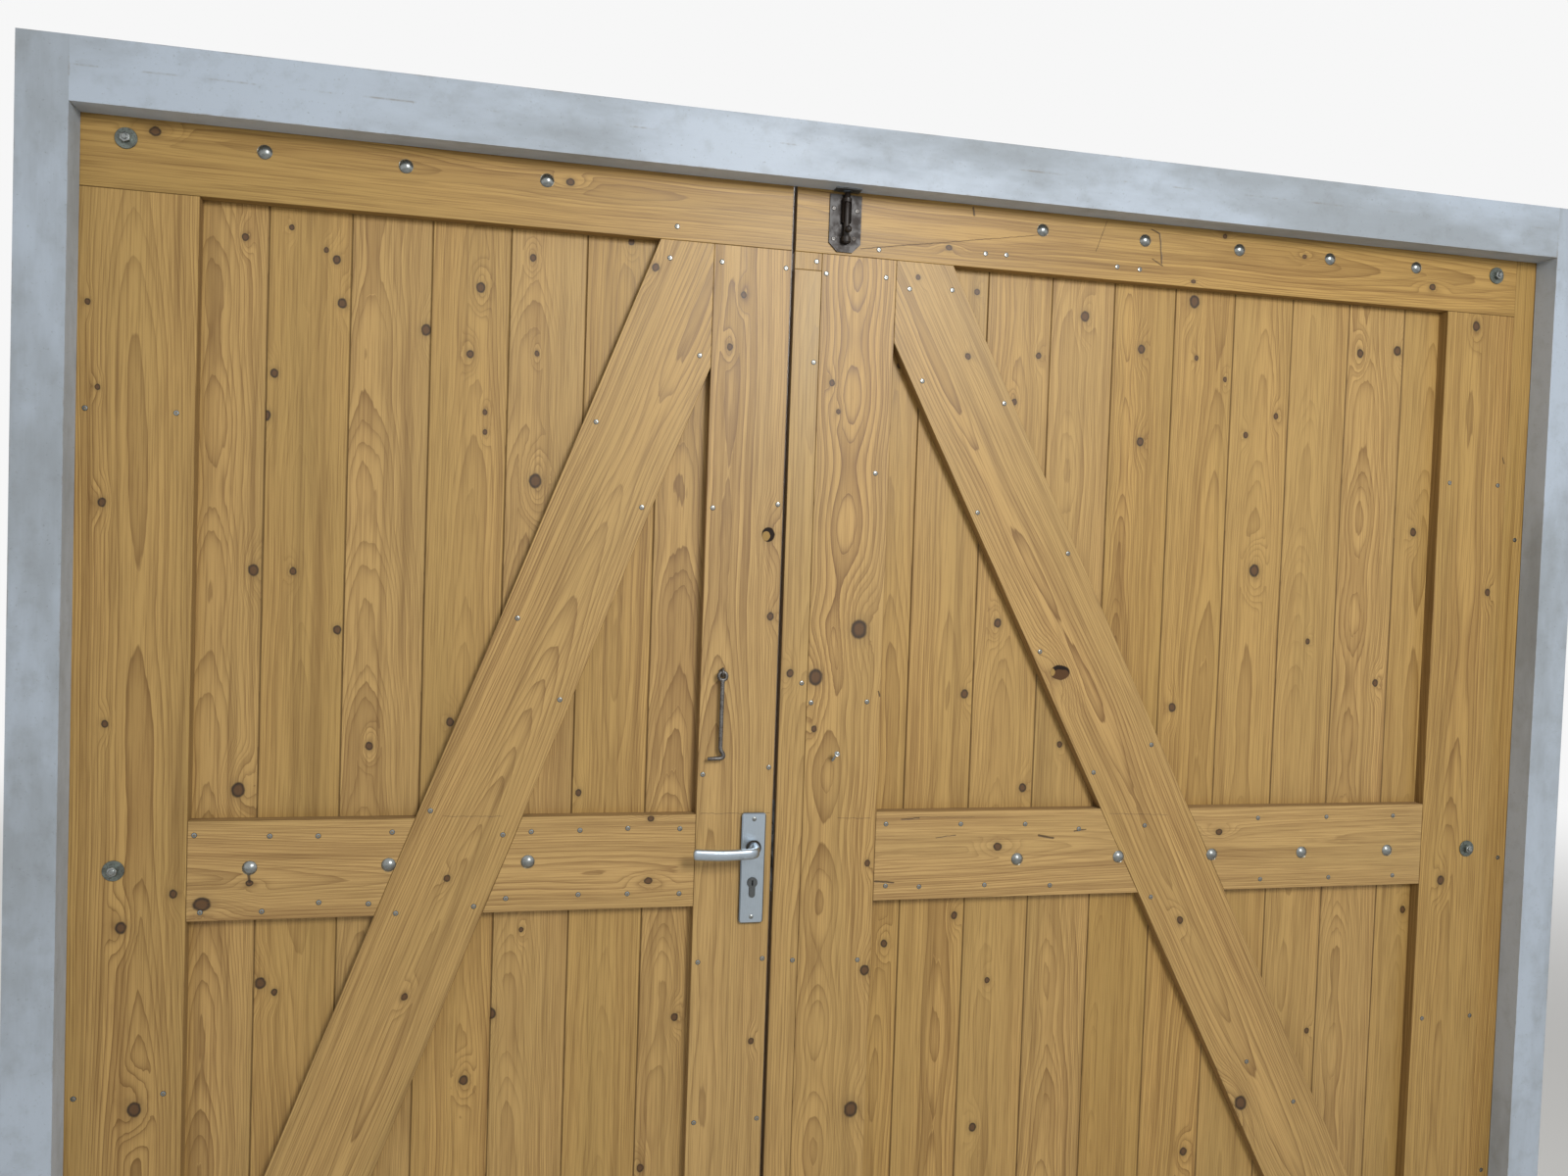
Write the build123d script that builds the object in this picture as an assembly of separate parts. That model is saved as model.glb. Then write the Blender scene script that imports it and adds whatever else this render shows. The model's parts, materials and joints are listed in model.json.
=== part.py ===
from build123d import *
import math
import os

# A pair of framed, boarded and braced timber doors in a rebated frame, both leaves opening outwards.
# X runs across the doorway, Y from the room to the outside, Z up. Millimetres.
# The origin is the middle of the left post's foot, on the floor.

# Frame
clear_width = 2455.0
clear_height = 2116.0
post_width = 67.0
frame_depth = 90.0
head_height = 90.0
stop_depth = 44.5
side_cover = 15.0
head_cover = 50.0
edge_clearance = 3.0
stop_clearance = 1.5

# Leaves
board_thickness = 22.0
framing_thickness = 22.0
leaf_bottom = 12.0
meeting_gap = 6.0
left_leaf_width = 1047.0
left_full_boards = 8
left_edge_board = 26.7
left_meeting_board = 89.1
right_full_boards = 11
right_meeting_board = 108.3
right_edge_board = 37.3
joint_chamfer = 1.5
tongue_length = 7.0
tongue_thickness = 6.0
tongue_clearance = 0.3
member_gap = 0.3
arris = 0.7

# Stiles, rails and braces
rail_height = 149.0
mid_rail_bottom = 954.5
left_hinge_stile_width = 169.0
left_meeting_stile_width = 125.0
right_meeting_width = 170.5
right_hinge_width = 197.0
right_meeting_strip_width = 45.0
right_strip_head = 28.7
right_hinge_strip_width = 53.0
brace_width = 149.0
left_brace_drop = 194.7
left_brace_foot = 121.0
right_brace_drop = 133.7
right_brace_foot = 157.6

# Strap hinges
strap_width = 45.0
strap_thickness = 5.0
strap_end = 34.0
pin_radius = 7.0
pin_clearance = 0.05
eye_height = 44.0
knuckle_height = 30.0
knuckle_relief = 0.6
knuckle_sides = 12
pintle_plate_width = 44.0
pintle_plate_height = 58.0
pintle_plate_thickness = 5.0

# Strap bolts, as shares of the leaf's width from its left edge, and from the edges of their rails
left_bolt_shares = (0.244, 0.4322, 0.6299)
left_stile_bolt_inset = 71.0
right_bolt_shares = (0.298, 0.4309, 0.5582, 0.6851, 0.8107)
right_stile_bolt_inset = 98.0
top_bolts_below_edge = 77.0
left_bolts_above_rail = 78.5
right_bolts_above_rail = 64.5
bottom_bolts_above_edge = 75.0
shank_sides = 6
dome_sides = 8
bolt_radius = 4.0
bolt_hole_clearance = 0.25
dome_radius = 10.5
dome_height = 5.5
nut_width = 13.0
nut_height = 6.5
washer_radius = 15.0
washer_thickness = 2.0

# Lever furniture and lock
backset = 31.0
spindle_height = 1050.0
lock_centres = 57.0
plate_width = 40.0
plate_height = 180.0
plate_thickness = 8.0
plate_corner = 5.0
corner_steps = 3
plate_bevel = 2.0
plate_above_spindle = 56.0
neck_radius = 9.0
neck_clearance = 0.05
lever_projection = 46.0
lever_length = 103.0
lever_tall = 17.0
lever_deep = 12.0
lever_bend = 15.0
lever_sides = 12
bend_steps = 5
spindle_side = 8.0
case_thickness = 15.0
case_above = 62.0
case_below = 92.0
case_depth = 52.0
case_clearance = 0.3
forend_width = 20.0
forend_height = 235.0
forend_thickness = 3.0
latch_height = 18.0
latch_thickness = 11.0
latch_projection = 5.0
latch_length = 30.0
latch_rise = 23.0
dead_height = 18.0
dead_thickness = 10.0
dead_length = 34.0
dead_throw = 18.0
dead_drop = 31.0
slide_clearance = 0.1
cylinder_radius = 8.5
cylinder_drop = 33.0
cylinder_foot = 10.0
cylinder_proud = 2.0
cylinder_sides = 16
cylinder_clearance = 0.3
plug_radius = 6.5
plug_clearance = 0.05
strike_height = 150.0
strike_width = 24.0
strike_hole_clearance = 1.5
strike_pocket_clearance = 4.0

# Cabin hook
hook_inset = 91.0
hook_eye_height = 1334.0
hook_standoff = 11.0
hook_ring = 6.0
hook_wire = 2.5
eye_ring = 6.0
eye_wire = 2.0
hook_drop = 132.0
hook_tip = 22.0
hook_bow = 5.0
hook_play = 0.45
ring_sides = 12

# Tower bolt
tower_inset = 80.5
tower_plate_width = 53.0
tower_plate_height = 92.0
tower_plate_below_head = 6.0
tower_plate_thickness = 3.0
tower_corner = 14.0
tower_rod_radius = 5.0
tower_rod_clearance = 0.05
tower_standoff = 1.5
tower_travel = 26.0
housing_height = 38.0
housing_rise = 46.0
housing_wall = 2.5
guide_rise = 15.0
guide_height = 8.0
knob_rise = 32.0
knob_radius = 5.5
knob_length = 20.0
keep_clearance = 1.2
keep_plate_thickness = 2.0
keep_plate_width = 42.0
keep_plate_depth = 21.0

# Derived places
stop_face = -frame_depth / 2 + stop_depth
leaf_inner = stop_face + stop_clearance
leaf_middle = leaf_inner + framing_thickness
leaf_outer = leaf_middle + board_thickness
left_reveal = post_width / 2
right_reveal = left_reveal + clear_width
left_edge = left_reveal - side_cover + edge_clearance
right_edge = right_reveal + side_cover - edge_clearance
left_meeting = left_edge + left_leaf_width
right_meeting = left_meeting + meeting_gap
left_hinge_stile_edge = left_edge + left_hinge_stile_width
left_meeting_stile_edge = left_meeting - left_meeting_stile_width
right_meeting_stile_edge = right_meeting + right_meeting_width
right_hinge_stile_edge = right_edge - right_hinge_width
right_edge_joint = right_edge - right_hinge_strip_width
rebate_top = clear_height + head_cover
leaf_top = rebate_top - edge_clearance
frame_top = clear_height + head_height
top_rail_bottom = leaf_top - rail_height
mid_rail_top = mid_rail_bottom + rail_height
bottom_rail_top = leaf_bottom + rail_height
eye_radius = pin_radius + pin_clearance + strap_thickness
axis_y = leaf_outer + eye_radius
left_axis_x = left_edge - edge_clearance / 2
right_axis_x = right_edge + edge_clearance / 2
right_strip_top = top_rail_bottom - right_strip_head
left_bolts_x = [left_edge + share * (left_meeting - left_edge) for share in left_bolt_shares]
right_bolts_x = [right_meeting + share * (right_edge - right_meeting) for share in right_bolt_shares]
left_stile_bolt_x = left_edge + left_stile_bolt_inset
right_stile_bolt_x = right_edge - right_stile_bolt_inset
top_bolts_z = leaf_top - top_bolts_below_edge
left_mid_bolts_z = mid_rail_bottom + left_bolts_above_rail
right_mid_bolts_z = mid_rail_bottom + right_bolts_above_rail
bottom_bolts_z = leaf_bottom + bottom_bolts_above_edge
lock_x = left_meeting - backset
cylinder_z = spindle_height - lock_centres
latch_centre = spindle_height + latch_rise
dead_centre = spindle_height - dead_drop
hook_x = left_meeting - hook_inset
hook_y = leaf_inner - hook_standoff
tower_x = right_meeting + tower_inset
tower_plate_high = clear_height - tower_plate_below_head
tower_plate_low = tower_plate_high - tower_plate_height
housing_low = tower_plate_low + housing_rise
housing_high = housing_low + housing_height
guide_low = tower_plate_low + guide_rise
guide_high = guide_low + guide_height
knob_z = tower_plate_low + knob_rise
rod_y = leaf_inner - tower_plate_thickness - tower_standoff - tower_rod_radius
keep_half = tower_rod_radius + keep_clearance


def block(x0, x1, y0, y1, z0, z1):
    """A box between two corners."""
    return Pos((x0 + x1) / 2, (y0 + y1) / 2, (z0 + z1) / 2) * Box(abs(x1 - x0), abs(y1 - y0), abs(z1 - z0))


def rod_along_y(x, z, radius, y0, y1):
    """A round bar or hole along Y."""
    return Pos(x, (y0 + y1) / 2, z) * Rot(90, 0, 0) * Cylinder(radius, abs(y1 - y0))


def bar_along_y(x, z, radius, y0, y1, sides=shank_sides):
    """A many-sided bar or hole along Y, for fasteners whose roundness needs no finer form."""
    outline = Plane(origin=(x, y0, z), x_dir=(1, 0, 0), z_dir=(0, 1, 0)) * RegularPolygon(radius, sides)
    return extrude(outline, amount=y1 - y0)


def rod_along_z(x, y, radius, z0, z1):
    """A round bar or hole along Z."""
    return Pos(x, y, (z0 + z1) / 2) * Cylinder(radius, abs(z1 - z0))


def bar_along_z(x, y, radius, z0, z1, sides):
    """A many-sided bar along Z with a flat towards each axis."""
    return extrude(Pos(x, y, z0) * Rot(0, 0, 180 / sides) * RegularPolygon(radius, sides), amount=z1 - z0)


def plate_from(points, y0, y1):
    """A flat piece with a straight-sided outline in X and Z, between two Y planes."""
    outline = make_face(Polyline(*[(x, y0, z) for x, z in points], close=True))
    return extrude(outline, amount=abs(y1 - y0), dir=(0, 1, 0))


def member_box(x0, x1, z0, z1):
    """A straight framing member with softened arrises on its room side."""
    return softened(block(x0, x1, leaf_inner, leaf_middle, z0, z1))


def union(pieces):
    """Separate solids kept side by side in one node."""
    return Compound(children=[p for piece in pieces for p in piece.solids()])


def save(shape, name):
    """Writes one node."""
    export_step(shape, f"parts/{name}.step")


def frame_post(side):
    """A rebated post; side is -1 for the left one and 1 for the right one."""
    reveal = left_reveal if side < 0 else right_reveal
    outer = reveal + side * post_width
    post = block(outer, reveal, -frame_depth / 2, frame_depth / 2, 0, frame_top)
    rebate = block(reveal + side * side_cover, reveal, stop_face, frame_depth / 2, 0, frame_top)
    return post - rebate


def frame_head():
    """The head board over both posts' rebates."""
    head = block(left_reveal, right_reveal, -frame_depth / 2, frame_depth / 2, rebate_top, frame_top)
    return head + block(left_reveal - side_cover, right_reveal + side_cover, stop_face, frame_depth / 2,
                        rebate_top, frame_top)


def head_stop():
    """The stop planted under the head board between the posts, with the tower bolt's socket."""
    stop = block(left_reveal, right_reveal, -frame_depth / 2, stop_face, clear_height, rebate_top)
    return stop - keep_mortise()


def keep_mortise():
    """The square socket in the head for the tower bolt's end."""
    return block(tower_x - keep_half, tower_x + keep_half, rod_y - keep_half, rod_y + keep_half,
                 clear_height - 2 * keep_plate_thickness, clear_height + tower_travel + 4 * keep_clearance)


def keep_plate():
    """The plate under the head that the tower bolt shoots through."""
    half = keep_plate_width / 2
    plate = block(tower_x - half, tower_x + half, stop_face - keep_plate_depth, stop_face,
                  clear_height - keep_plate_thickness, clear_height)
    return plate - keep_mortise()


def bolt_holes(leaf):
    """Through holes for every strap bolt of one leaf."""
    holes = []
    for x, z in bolt_places(leaf) + stile_bolt_places(leaf):
        holes.append(bar_along_y(x, z, bolt_radius + bolt_hole_clearance, leaf_inner - 5, leaf_outer + 15))
    return holes


def bolt_places(leaf):
    """Places of the coach bolts whose domes are on the room side."""
    along = left_bolts_x if leaf == "left" else right_bolts_x
    middle = left_mid_bolts_z if leaf == "left" else right_mid_bolts_z
    return [(x, z) for z in (bottom_bolts_z, middle, top_bolts_z) for x in along]


def stile_bolt_places(leaf):
    """Places of the bolts through the hinge stiles, with washer and nut on the room side."""
    x = left_stile_bolt_x if leaf == "left" else right_stile_bolt_x
    middle = left_mid_bolts_z if leaf == "left" else right_mid_bolts_z
    return [(x, z) for z in (bottom_bolts_z, middle, top_bolts_z)]


def drilled(solid, holes):
    """Cuts only the holes that reach the solid."""
    box = solid.bounding_box()
    for hole in holes:
        reach = hole.bounding_box()
        if (reach.max.X > box.min.X and reach.min.X < box.max.X
                and reach.max.Z > box.min.Z and reach.min.Z < box.max.Z):
            solid = solid - hole
    return solid


def board(x0, x1, first, last):
    """One tongued and grooved board with V joints, plain on a leaf's outer edge."""
    mid = (leaf_middle + leaf_outer) / 2
    half = tongue_thickness / 2
    c = joint_chamfer
    points = [(x0 + c, leaf_middle), (x1 - c, leaf_middle), (x1, leaf_middle + c)]
    if not last:
        points += [(x1, mid - half), (x1 + tongue_length, mid - half),
                   (x1 + tongue_length, mid + half), (x1, mid + half)]
    points += [(x1, leaf_outer - c), (x1 - c, leaf_outer), (x0 + c, leaf_outer), (x0, leaf_outer - c)]
    if not first:
        deep = tongue_length + tongue_clearance
        wide = half + tongue_clearance
        points += [(x0, mid + wide), (x0 + deep, mid + wide), (x0 + deep, mid - wide), (x0, mid - wide)]
    points += [(x0, leaf_middle + c)]
    section = make_face(Polyline(*[(x, y, leaf_bottom) for x, y in points], close=True))
    return extrude(section, amount=leaf_top - leaf_bottom, dir=(0, 0, 1))


def board_joints(start, first_width, count, last_width, end):
    """X places of the board edges across one leaf: a cut board at each side of equal full boards."""
    cover = (end - start - first_width - last_width) / count
    return [start] + [start + first_width + i * cover for i in range(count + 1)] + [end]


def leaf_boards(leaf, cuts):
    """All boards of one leaf: the two cut edge boards share a node, every full board has its own."""
    if leaf == "left":
        edges = board_joints(left_edge, left_edge_board, left_full_boards, left_meeting_board, left_meeting)
    else:
        edges = board_joints(right_meeting, right_meeting_board, right_full_boards, right_edge_board,
                             right_edge)
    count = len(edges) - 1
    planks = [board(edges[i], edges[i + 1], i == 0, i == count - 1) for i in range(count)]
    planks = [drilled(plank, cuts) for plank in planks]
    save(union([planks[0], planks[-1]]), f"{leaf}_cut_boards")
    for i, plank in enumerate(planks[1:-1]):
        save(plank, f"{leaf}_board_{i + 1:02d}")


def brace_bar(leaf, grow):
    """A slanting bar over the whole leaf, from the meeting stile to its foot beside the hinge stile."""
    g = member_gap
    if leaf == "left":
        side, drop, near = -1, left_brace_drop, left_meeting_stile_edge - g
        run = left_meeting_stile_edge - left_hinge_stile_edge - 2 * g - left_brace_foot
    else:
        side, drop, near = 1, right_brace_drop, right_meeting_stile_edge + g
        run = right_hinge_stile_edge - right_meeting_stile_edge - 2 * g - right_brace_foot
    low = top_rail_bottom - g - drop
    angle = math.atan(run / (low - bottom_rail_top - g))
    across, skin = brace_width / math.cos(angle), grow / math.cos(angle)
    points = []
    for z, shifts in ((leaf_bottom, (-skin, across + skin)), (leaf_top, (across + skin, -skin))):
        points += [(near + side * ((low - z) * math.tan(angle) + shift), z) for shift in shifts]
    return plate_from(points, leaf_inner, leaf_middle)


def stile_field(leaf, z0, z1):
    """A block as thick as the framing between the two stiles of one leaf."""
    g = member_gap
    left, right = left_hinge_stile_edge, left_meeting_stile_edge
    if leaf == "right":
        left, right = right_meeting_stile_edge, right_hinge_stile_edge
    return block(left + g, right - g, leaf_inner, leaf_middle, z0, z1)


def softened(solid):
    """Softens the arrises of one framing member on its room side."""
    front = solid.faces().sort_by(Axis.Y)[0]
    return solid.chamfer(arris, None, front.edges())


def brace(leaf):
    """The diagonal brace, cut to fit between the stiles and the top and bottom rails."""
    field = stile_field(leaf, bottom_rail_top + member_gap, top_rail_bottom - member_gap)
    return softened((brace_bar(leaf, 0) & field).solids()[0])


def mid_rail_pieces(leaf):
    """The two lengths of the middle rail that butt against the brace."""
    rail = stile_field(leaf, mid_rail_bottom, mid_rail_top) - brace_bar(leaf, member_gap)
    return [softened(piece) for piece in rail.solids()]


def left_framing(cuts):
    """Stiles, rails and brace of the left leaf."""
    g = member_gap
    stile_top = top_rail_bottom - g
    nodes = {
        "left_hinge_stile": member_box(left_edge, left_hinge_stile_edge, leaf_bottom, stile_top),
        "left_meeting_stile": member_box(left_meeting_stile_edge, left_meeting, leaf_bottom, stile_top),
        "left_top_rail": member_box(left_edge, left_meeting, top_rail_bottom, leaf_top),
        "left_bottom_rail": member_box(left_hinge_stile_edge + g, left_meeting_stile_edge - g,
                                       leaf_bottom, bottom_rail_top),
        "left_brace": brace("left"),
    }
    for name, solid in nodes.items():
        save(drilled(solid, cuts), name)
    save(union([drilled(piece, cuts) for piece in mid_rail_pieces("left")]), "left_mid_rail")


def right_framing(cuts):
    """Stiles, rails, edge strips and brace of the right leaf."""
    g = member_gap
    stile_top = top_rail_bottom - g
    strip_edge = right_meeting + right_meeting_strip_width
    strip = member_box(right_meeting, strip_edge - g, leaf_bottom, right_strip_top)
    strip_head = member_box(right_meeting, strip_edge - g, right_strip_top + g, stile_top)
    hinge_strip = member_box(right_edge_joint, right_edge, leaf_bottom, leaf_top)
    nodes = {
        "right_meeting_strip": strip,
        "right_meeting_stile": member_box(strip_edge, right_meeting_stile_edge, leaf_bottom, stile_top),
        "right_hinge_stile": member_box(right_hinge_stile_edge, right_edge_joint - g, leaf_bottom,
                                        stile_top),
        "right_top_rail": member_box(right_meeting, right_edge_joint - g, top_rail_bottom, leaf_top),
        "right_bottom_rail": member_box(right_meeting_stile_edge + g, right_hinge_stile_edge - g,
                                        leaf_bottom, bottom_rail_top),
        "right_brace": brace("right"),
    }
    for name, solid in nodes.items():
        save(drilled(solid, cuts), name)
    save(union([hinge_strip, strip_head]), "right_edge_strips")
    save(union([drilled(piece, cuts) for piece in mid_rail_pieces("right")]), "right_mid_rail")


def strap_heights(leaf):
    """Heights of a leaf's three straps."""
    return (bottom_bolts_z, left_mid_bolts_z if leaf == "left" else right_mid_bolts_z, top_bolts_z)


def strap(leaf, z):
    """A flat strap with a rolled eye on the hinge pin."""
    side = 1 if leaf == "left" else -1
    axis_x = left_axis_x if leaf == "left" else right_axis_x
    far = left_bolts_x[-1] + strap_end if leaf == "left" else right_bolts_x[0] - strap_end
    half = strap_width / 2
    nose, tip = strap_width * 0.36, strap_width * 0.11
    points = [(axis_x, z - half), (far - side * nose, z - half), (far, z - tip), (far, z + tip),
              (far - side * nose, z + half), (axis_x, z + half)]
    bar = plate_from(points, leaf_outer, leaf_outer + strap_thickness)
    eye = bar_along_z(axis_x, axis_y, eye_radius, z - eye_height / 2, z + eye_height / 2, knuckle_sides)
    back, front = axis_x - side * 2 * eye_radius, axis_x + side * (eye_radius + 1)
    trimmed = bar - block(back, front, leaf_outer - 1, axis_y, z + eye_height / 2, z + half + 1)
    trimmed -= block(back, front, leaf_outer - 1, axis_y, z - half - 1, z - eye_height / 2)
    whole = trimmed + eye
    whole -= rod_along_z(axis_x, axis_y, pin_radius + pin_clearance, z - eye_height, z + eye_height)
    return whole


def leaf_straps(leaf, cuts):
    """The three straps of one leaf."""
    save(union([drilled(strap(leaf, z), cuts) for z in strap_heights(leaf)]), f"{leaf}_straps")


def pintle(leaf, z):
    """A plate on the frame with a knuckle and a pin that carries the strap's eye."""
    side = 1 if leaf == "left" else -1
    axis_x = left_axis_x if leaf == "left" else right_axis_x
    top = z - eye_height / 2 - member_gap
    low = top - knuckle_height
    rebate = (left_reveal - side_cover) if leaf == "left" else (right_reveal + side_cover)
    inner = rebate - side * 1.0
    outer = inner - side * pintle_plate_width
    plate = block(outer, inner, leaf_outer, leaf_outer + pintle_plate_thickness,
                  top - pintle_plate_height, top)
    radius = eye_radius - knuckle_relief
    knuckle = bar_along_z(axis_x, axis_y, radius, low, top, knuckle_sides)
    web = block(axis_x, axis_x - side * (radius + 6), leaf_outer, axis_y, low, top)
    pin = rod_along_z(axis_x, axis_y, pin_radius, low, z + eye_height / 2 + 3)
    return plate + knuckle + web + pin


def pintles():
    """All six pintles."""
    pieces = [pintle(leaf, z) for leaf in ("left", "right") for z in strap_heights(leaf)]
    save(union(pieces), "pintles")


def coach_bolt(x, z, y_head, y_end):
    """A domed bolt along Y with its dome at y_head."""
    way = 1 if y_end > y_head else -1
    rings = []
    for out, width in ((0, 1.0), (0.55, 0.85), (1.0, 0.35)):
        seat = Plane(origin=(x, y_head - way * out * dome_height, z), x_dir=(1, 0, 0), z_dir=(0, 1, 0))
        rings.append(seat * RegularPolygon(width * dome_radius, dome_sides))
    return bar_along_y(x, z, bolt_radius, y_head, y_end) + loft(rings, ruled=True)


def hex_nut(x, z, y0, way):
    """A hexagon nut bored to clear its bolt."""
    nut = extrude(Plane.XZ * RegularPolygon(nut_width / math.sqrt(3), 6), amount=nut_height / 2, both=True)
    nut = Pos(x, y0 + way * nut_height / 2, z) * nut
    return nut - bar_along_y(x, z, bolt_radius + bolt_hole_clearance / 2, y0 - 20, y0 + 20)


def leaf_fasteners(leaf):
    """Strap bolts of one leaf in one node, their nuts and washers in another."""
    outside = leaf_outer + strap_thickness
    bolts = [coach_bolt(x, z, leaf_inner, outside + nut_height + 3) for x, z in bolt_places(leaf)]
    nuts = [hex_nut(x, z, outside, 1) for x, z in bolt_places(leaf)]
    washers = []
    seat = leaf_inner - washer_thickness
    for x, z in stile_bolt_places(leaf):
        bolts.append(coach_bolt(x, z, outside, seat - nut_height - 3))
        nuts.append(hex_nut(x, z, seat, -1))
        ring = bar_along_y(x, z, washer_radius, seat, leaf_inner, 2 * dome_sides)
        hole = bar_along_y(x, z, bolt_radius + bolt_hole_clearance, seat - 5, leaf_inner + 5)
        washers.append(ring - hole)
    save(union(bolts), f"{leaf}_strap_bolts")
    save(union(nuts + washers), f"{leaf}_nuts_and_washers")


def profile_hole(clearance, y0, y1):
    """The keyhole-shaped outline of the lock cylinder as a body along Y."""
    r = cylinder_radius + clearance
    foot = cylinder_foot / 2 + clearance
    round_part = bar_along_y(lock_x, cylinder_z, r, y0, y1, cylinder_sides)
    low = cylinder_z + cylinder_radius - cylinder_drop + cylinder_foot / 2
    stem = block(lock_x - foot, lock_x + foot, y0, y1, low, cylinder_z)
    end = bar_along_y(lock_x, low, foot, y0, y1, cylinder_sides)
    return round_part + stem + end


def lever_plate(outside):
    """A long cover plate with holes for the lever's neck and the cylinder."""
    z1 = spindle_height + plate_above_spindle
    z0 = z1 - plate_height
    y0 = leaf_outer if outside else leaf_inner - plate_thickness
    y1 = y0 + plate_thickness
    half = plate_width / 2
    points = []
    for x, z, turn in ((lock_x + half, z1, 0), (lock_x - half, z1, 90), (lock_x - half, z0, 180),
                       (lock_x + half, z0, 270)):
        middle_x = x - math.copysign(plate_corner, x - lock_x)
        middle_z = z - math.copysign(plate_corner, z - (z0 + z1) / 2)
        for i in range(corner_steps + 1):
            angle = math.radians(turn + 90 * i / corner_steps)
            points.append((middle_x + plate_corner * math.cos(angle),
                           middle_z + plate_corner * math.sin(angle)))
    plate = plate_from(points, y0, y1)
    face = plate.faces().sort_by(Axis.Y)[-1 if outside else 0]
    plate = plate.chamfer(plate_bevel, None, face.edges())
    collar_y0, collar_y1 = (y1, y1 + 2) if outside else (y0 - 2, y0)
    plate += rod_along_y(lock_x, spindle_height, neck_radius + 3, collar_y0, collar_y1)
    plate -= rod_along_y(lock_x, spindle_height, neck_radius + neck_clearance, y0 - 5, y1 + 5)
    return plate - profile_hole(cylinder_clearance, y0 - 5, y1 + 5)


def lever(outside):
    """A bent lever on a round neck, socketed for the square spindle."""
    way = 1 if outside else -1
    face = leaf_outer if outside else leaf_inner
    start = face + way * member_gap * 3
    root = start + way * plate_thickness
    arm_y = face + way * lever_projection
    end_x = lock_x - lever_length + lever_tall / 2
    places = [(lock_x, root, 0, 1.0)]
    for i in range(bend_steps + 1):
        turn = math.pi / 2 * i / bend_steps
        places.append((lock_x - lever_bend * (1 - math.cos(turn)),
                       arm_y - way * lever_bend * (1 - math.sin(turn)), turn, 1.0))
    for out, size in ((0, 1.0), (lever_tall / 4, 0.85), (lever_tall / 2, 0.4)):
        places.append((end_x - out, arm_y, math.pi / 2, size))
    oval = scale(RegularPolygon(1, lever_sides), by=(lever_deep / 2, lever_tall / 2, 1))
    rings = []
    for x, y, turn, size in places:
        seat = Plane(origin=(x, y, spindle_height), x_dir=(math.cos(turn), way * math.sin(turn), 0),
                     z_dir=(-math.sin(turn), way * math.cos(turn), 0))
        rings.append(seat * scale(oval, by=(size, size, 1)))
    neck = rod_along_y(lock_x, spindle_height, neck_radius, start, face + way * (plate_thickness + 12))
    socket = spindle_side / 2 + 0.05
    return loft(rings, ruled=True) + neck - block(
        lock_x - socket, lock_x + socket, start - way, start + way * 24, spindle_height - socket,
        spindle_height + socket)


def spindle():
    """The square spindle through the leaf."""
    half = spindle_side / 2
    return block(lock_x - half, lock_x + half, leaf_inner - 24, leaf_outer + 24,
                 spindle_height - half, spindle_height + half)


def case_block(grow):
    """The lock case's outline, grown by a clearance for its mortise."""
    y = leaf_middle
    half = case_thickness / 2 + grow
    case = block(left_meeting - case_depth - grow, left_meeting, y - half, y + half,
                 spindle_height - case_below - grow, spindle_height + case_above + grow)
    middle = spindle_height - (case_below - case_above) / 2
    forend = block(left_meeting - forend_thickness - grow, left_meeting, y - forend_width / 2 - grow,
                   y + forend_width / 2 + grow, middle - forend_height / 2 - grow,
                   middle + forend_height / 2 + grow)
    return case + forend


def latch_box(grow, out):
    """The spring latch's body along X."""
    half_y, half_z = latch_thickness / 2 + grow, latch_height / 2 + grow
    return block(left_meeting + out - latch_length - grow, left_meeting + out, leaf_middle - half_y,
                 leaf_middle + half_y, latch_centre - half_z, latch_centre + half_z)


def dead_box(grow, back):
    """The deadbolt's body along X, flush with the forend when withdrawn."""
    half_y, half_z = dead_thickness / 2 + grow, dead_height / 2 + grow
    return block(left_meeting - dead_length - back - grow, left_meeting - 0.2 + grow, leaf_middle - half_y,
                 leaf_middle + half_y, dead_centre - half_z, dead_centre + half_z)


def lock_case():
    """The mortised case with channels for the latch and the deadbolt."""
    case = case_block(0)
    half_y = latch_thickness / 2 + slide_clearance
    half_z = latch_height / 2 + slide_clearance
    case -= block(left_meeting - latch_length - 2, left_meeting + 5, leaf_middle - half_y,
                  leaf_middle + half_y, latch_centre - half_z, latch_centre + half_z)
    half_y = dead_thickness / 2 + slide_clearance
    half_z = dead_height / 2 + slide_clearance
    case -= block(left_meeting - dead_length - 2, left_meeting + 5, leaf_middle - half_y,
                  leaf_middle + half_y, dead_centre - half_z, dead_centre + half_z)
    case -= bar_along_y(lock_x, spindle_height, spindle_side * 0.75 + 0.2, leaf_inner, leaf_outer,
                        cylinder_sides)
    return case - profile_hole(cylinder_clearance, leaf_inner, leaf_outer)


def latch_bolt():
    """The spring latch with its sloping nose towards the outside."""
    bolt = latch_box(0, latch_projection)
    tip = left_meeting + latch_projection
    half = latch_thickness / 2
    z0, z1 = latch_centre - latch_height, latch_centre + latch_height
    nose = [(tip, leaf_middle - half), (tip + 1, leaf_middle - half), (tip + 1, leaf_middle + half + 1),
            (tip - latch_projection + 0.5, leaf_middle + half + 1)]
    wedge = make_face(Polyline(*[(x, y, z0) for x, y in nose], close=True))
    return bolt - extrude(wedge, amount=z1 - z0, dir=(0, 0, 1))


def lock_cylinder():
    """The profile cylinder's housing, bored for its plug."""
    y0 = leaf_inner - plate_thickness - cylinder_proud
    y1 = leaf_outer + plate_thickness + cylinder_proud
    body = profile_hole(0, y0, y1)
    return body - rod_along_y(lock_x, cylinder_z, plug_radius + plug_clearance, y0 - 5, y1 + 5)


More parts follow.
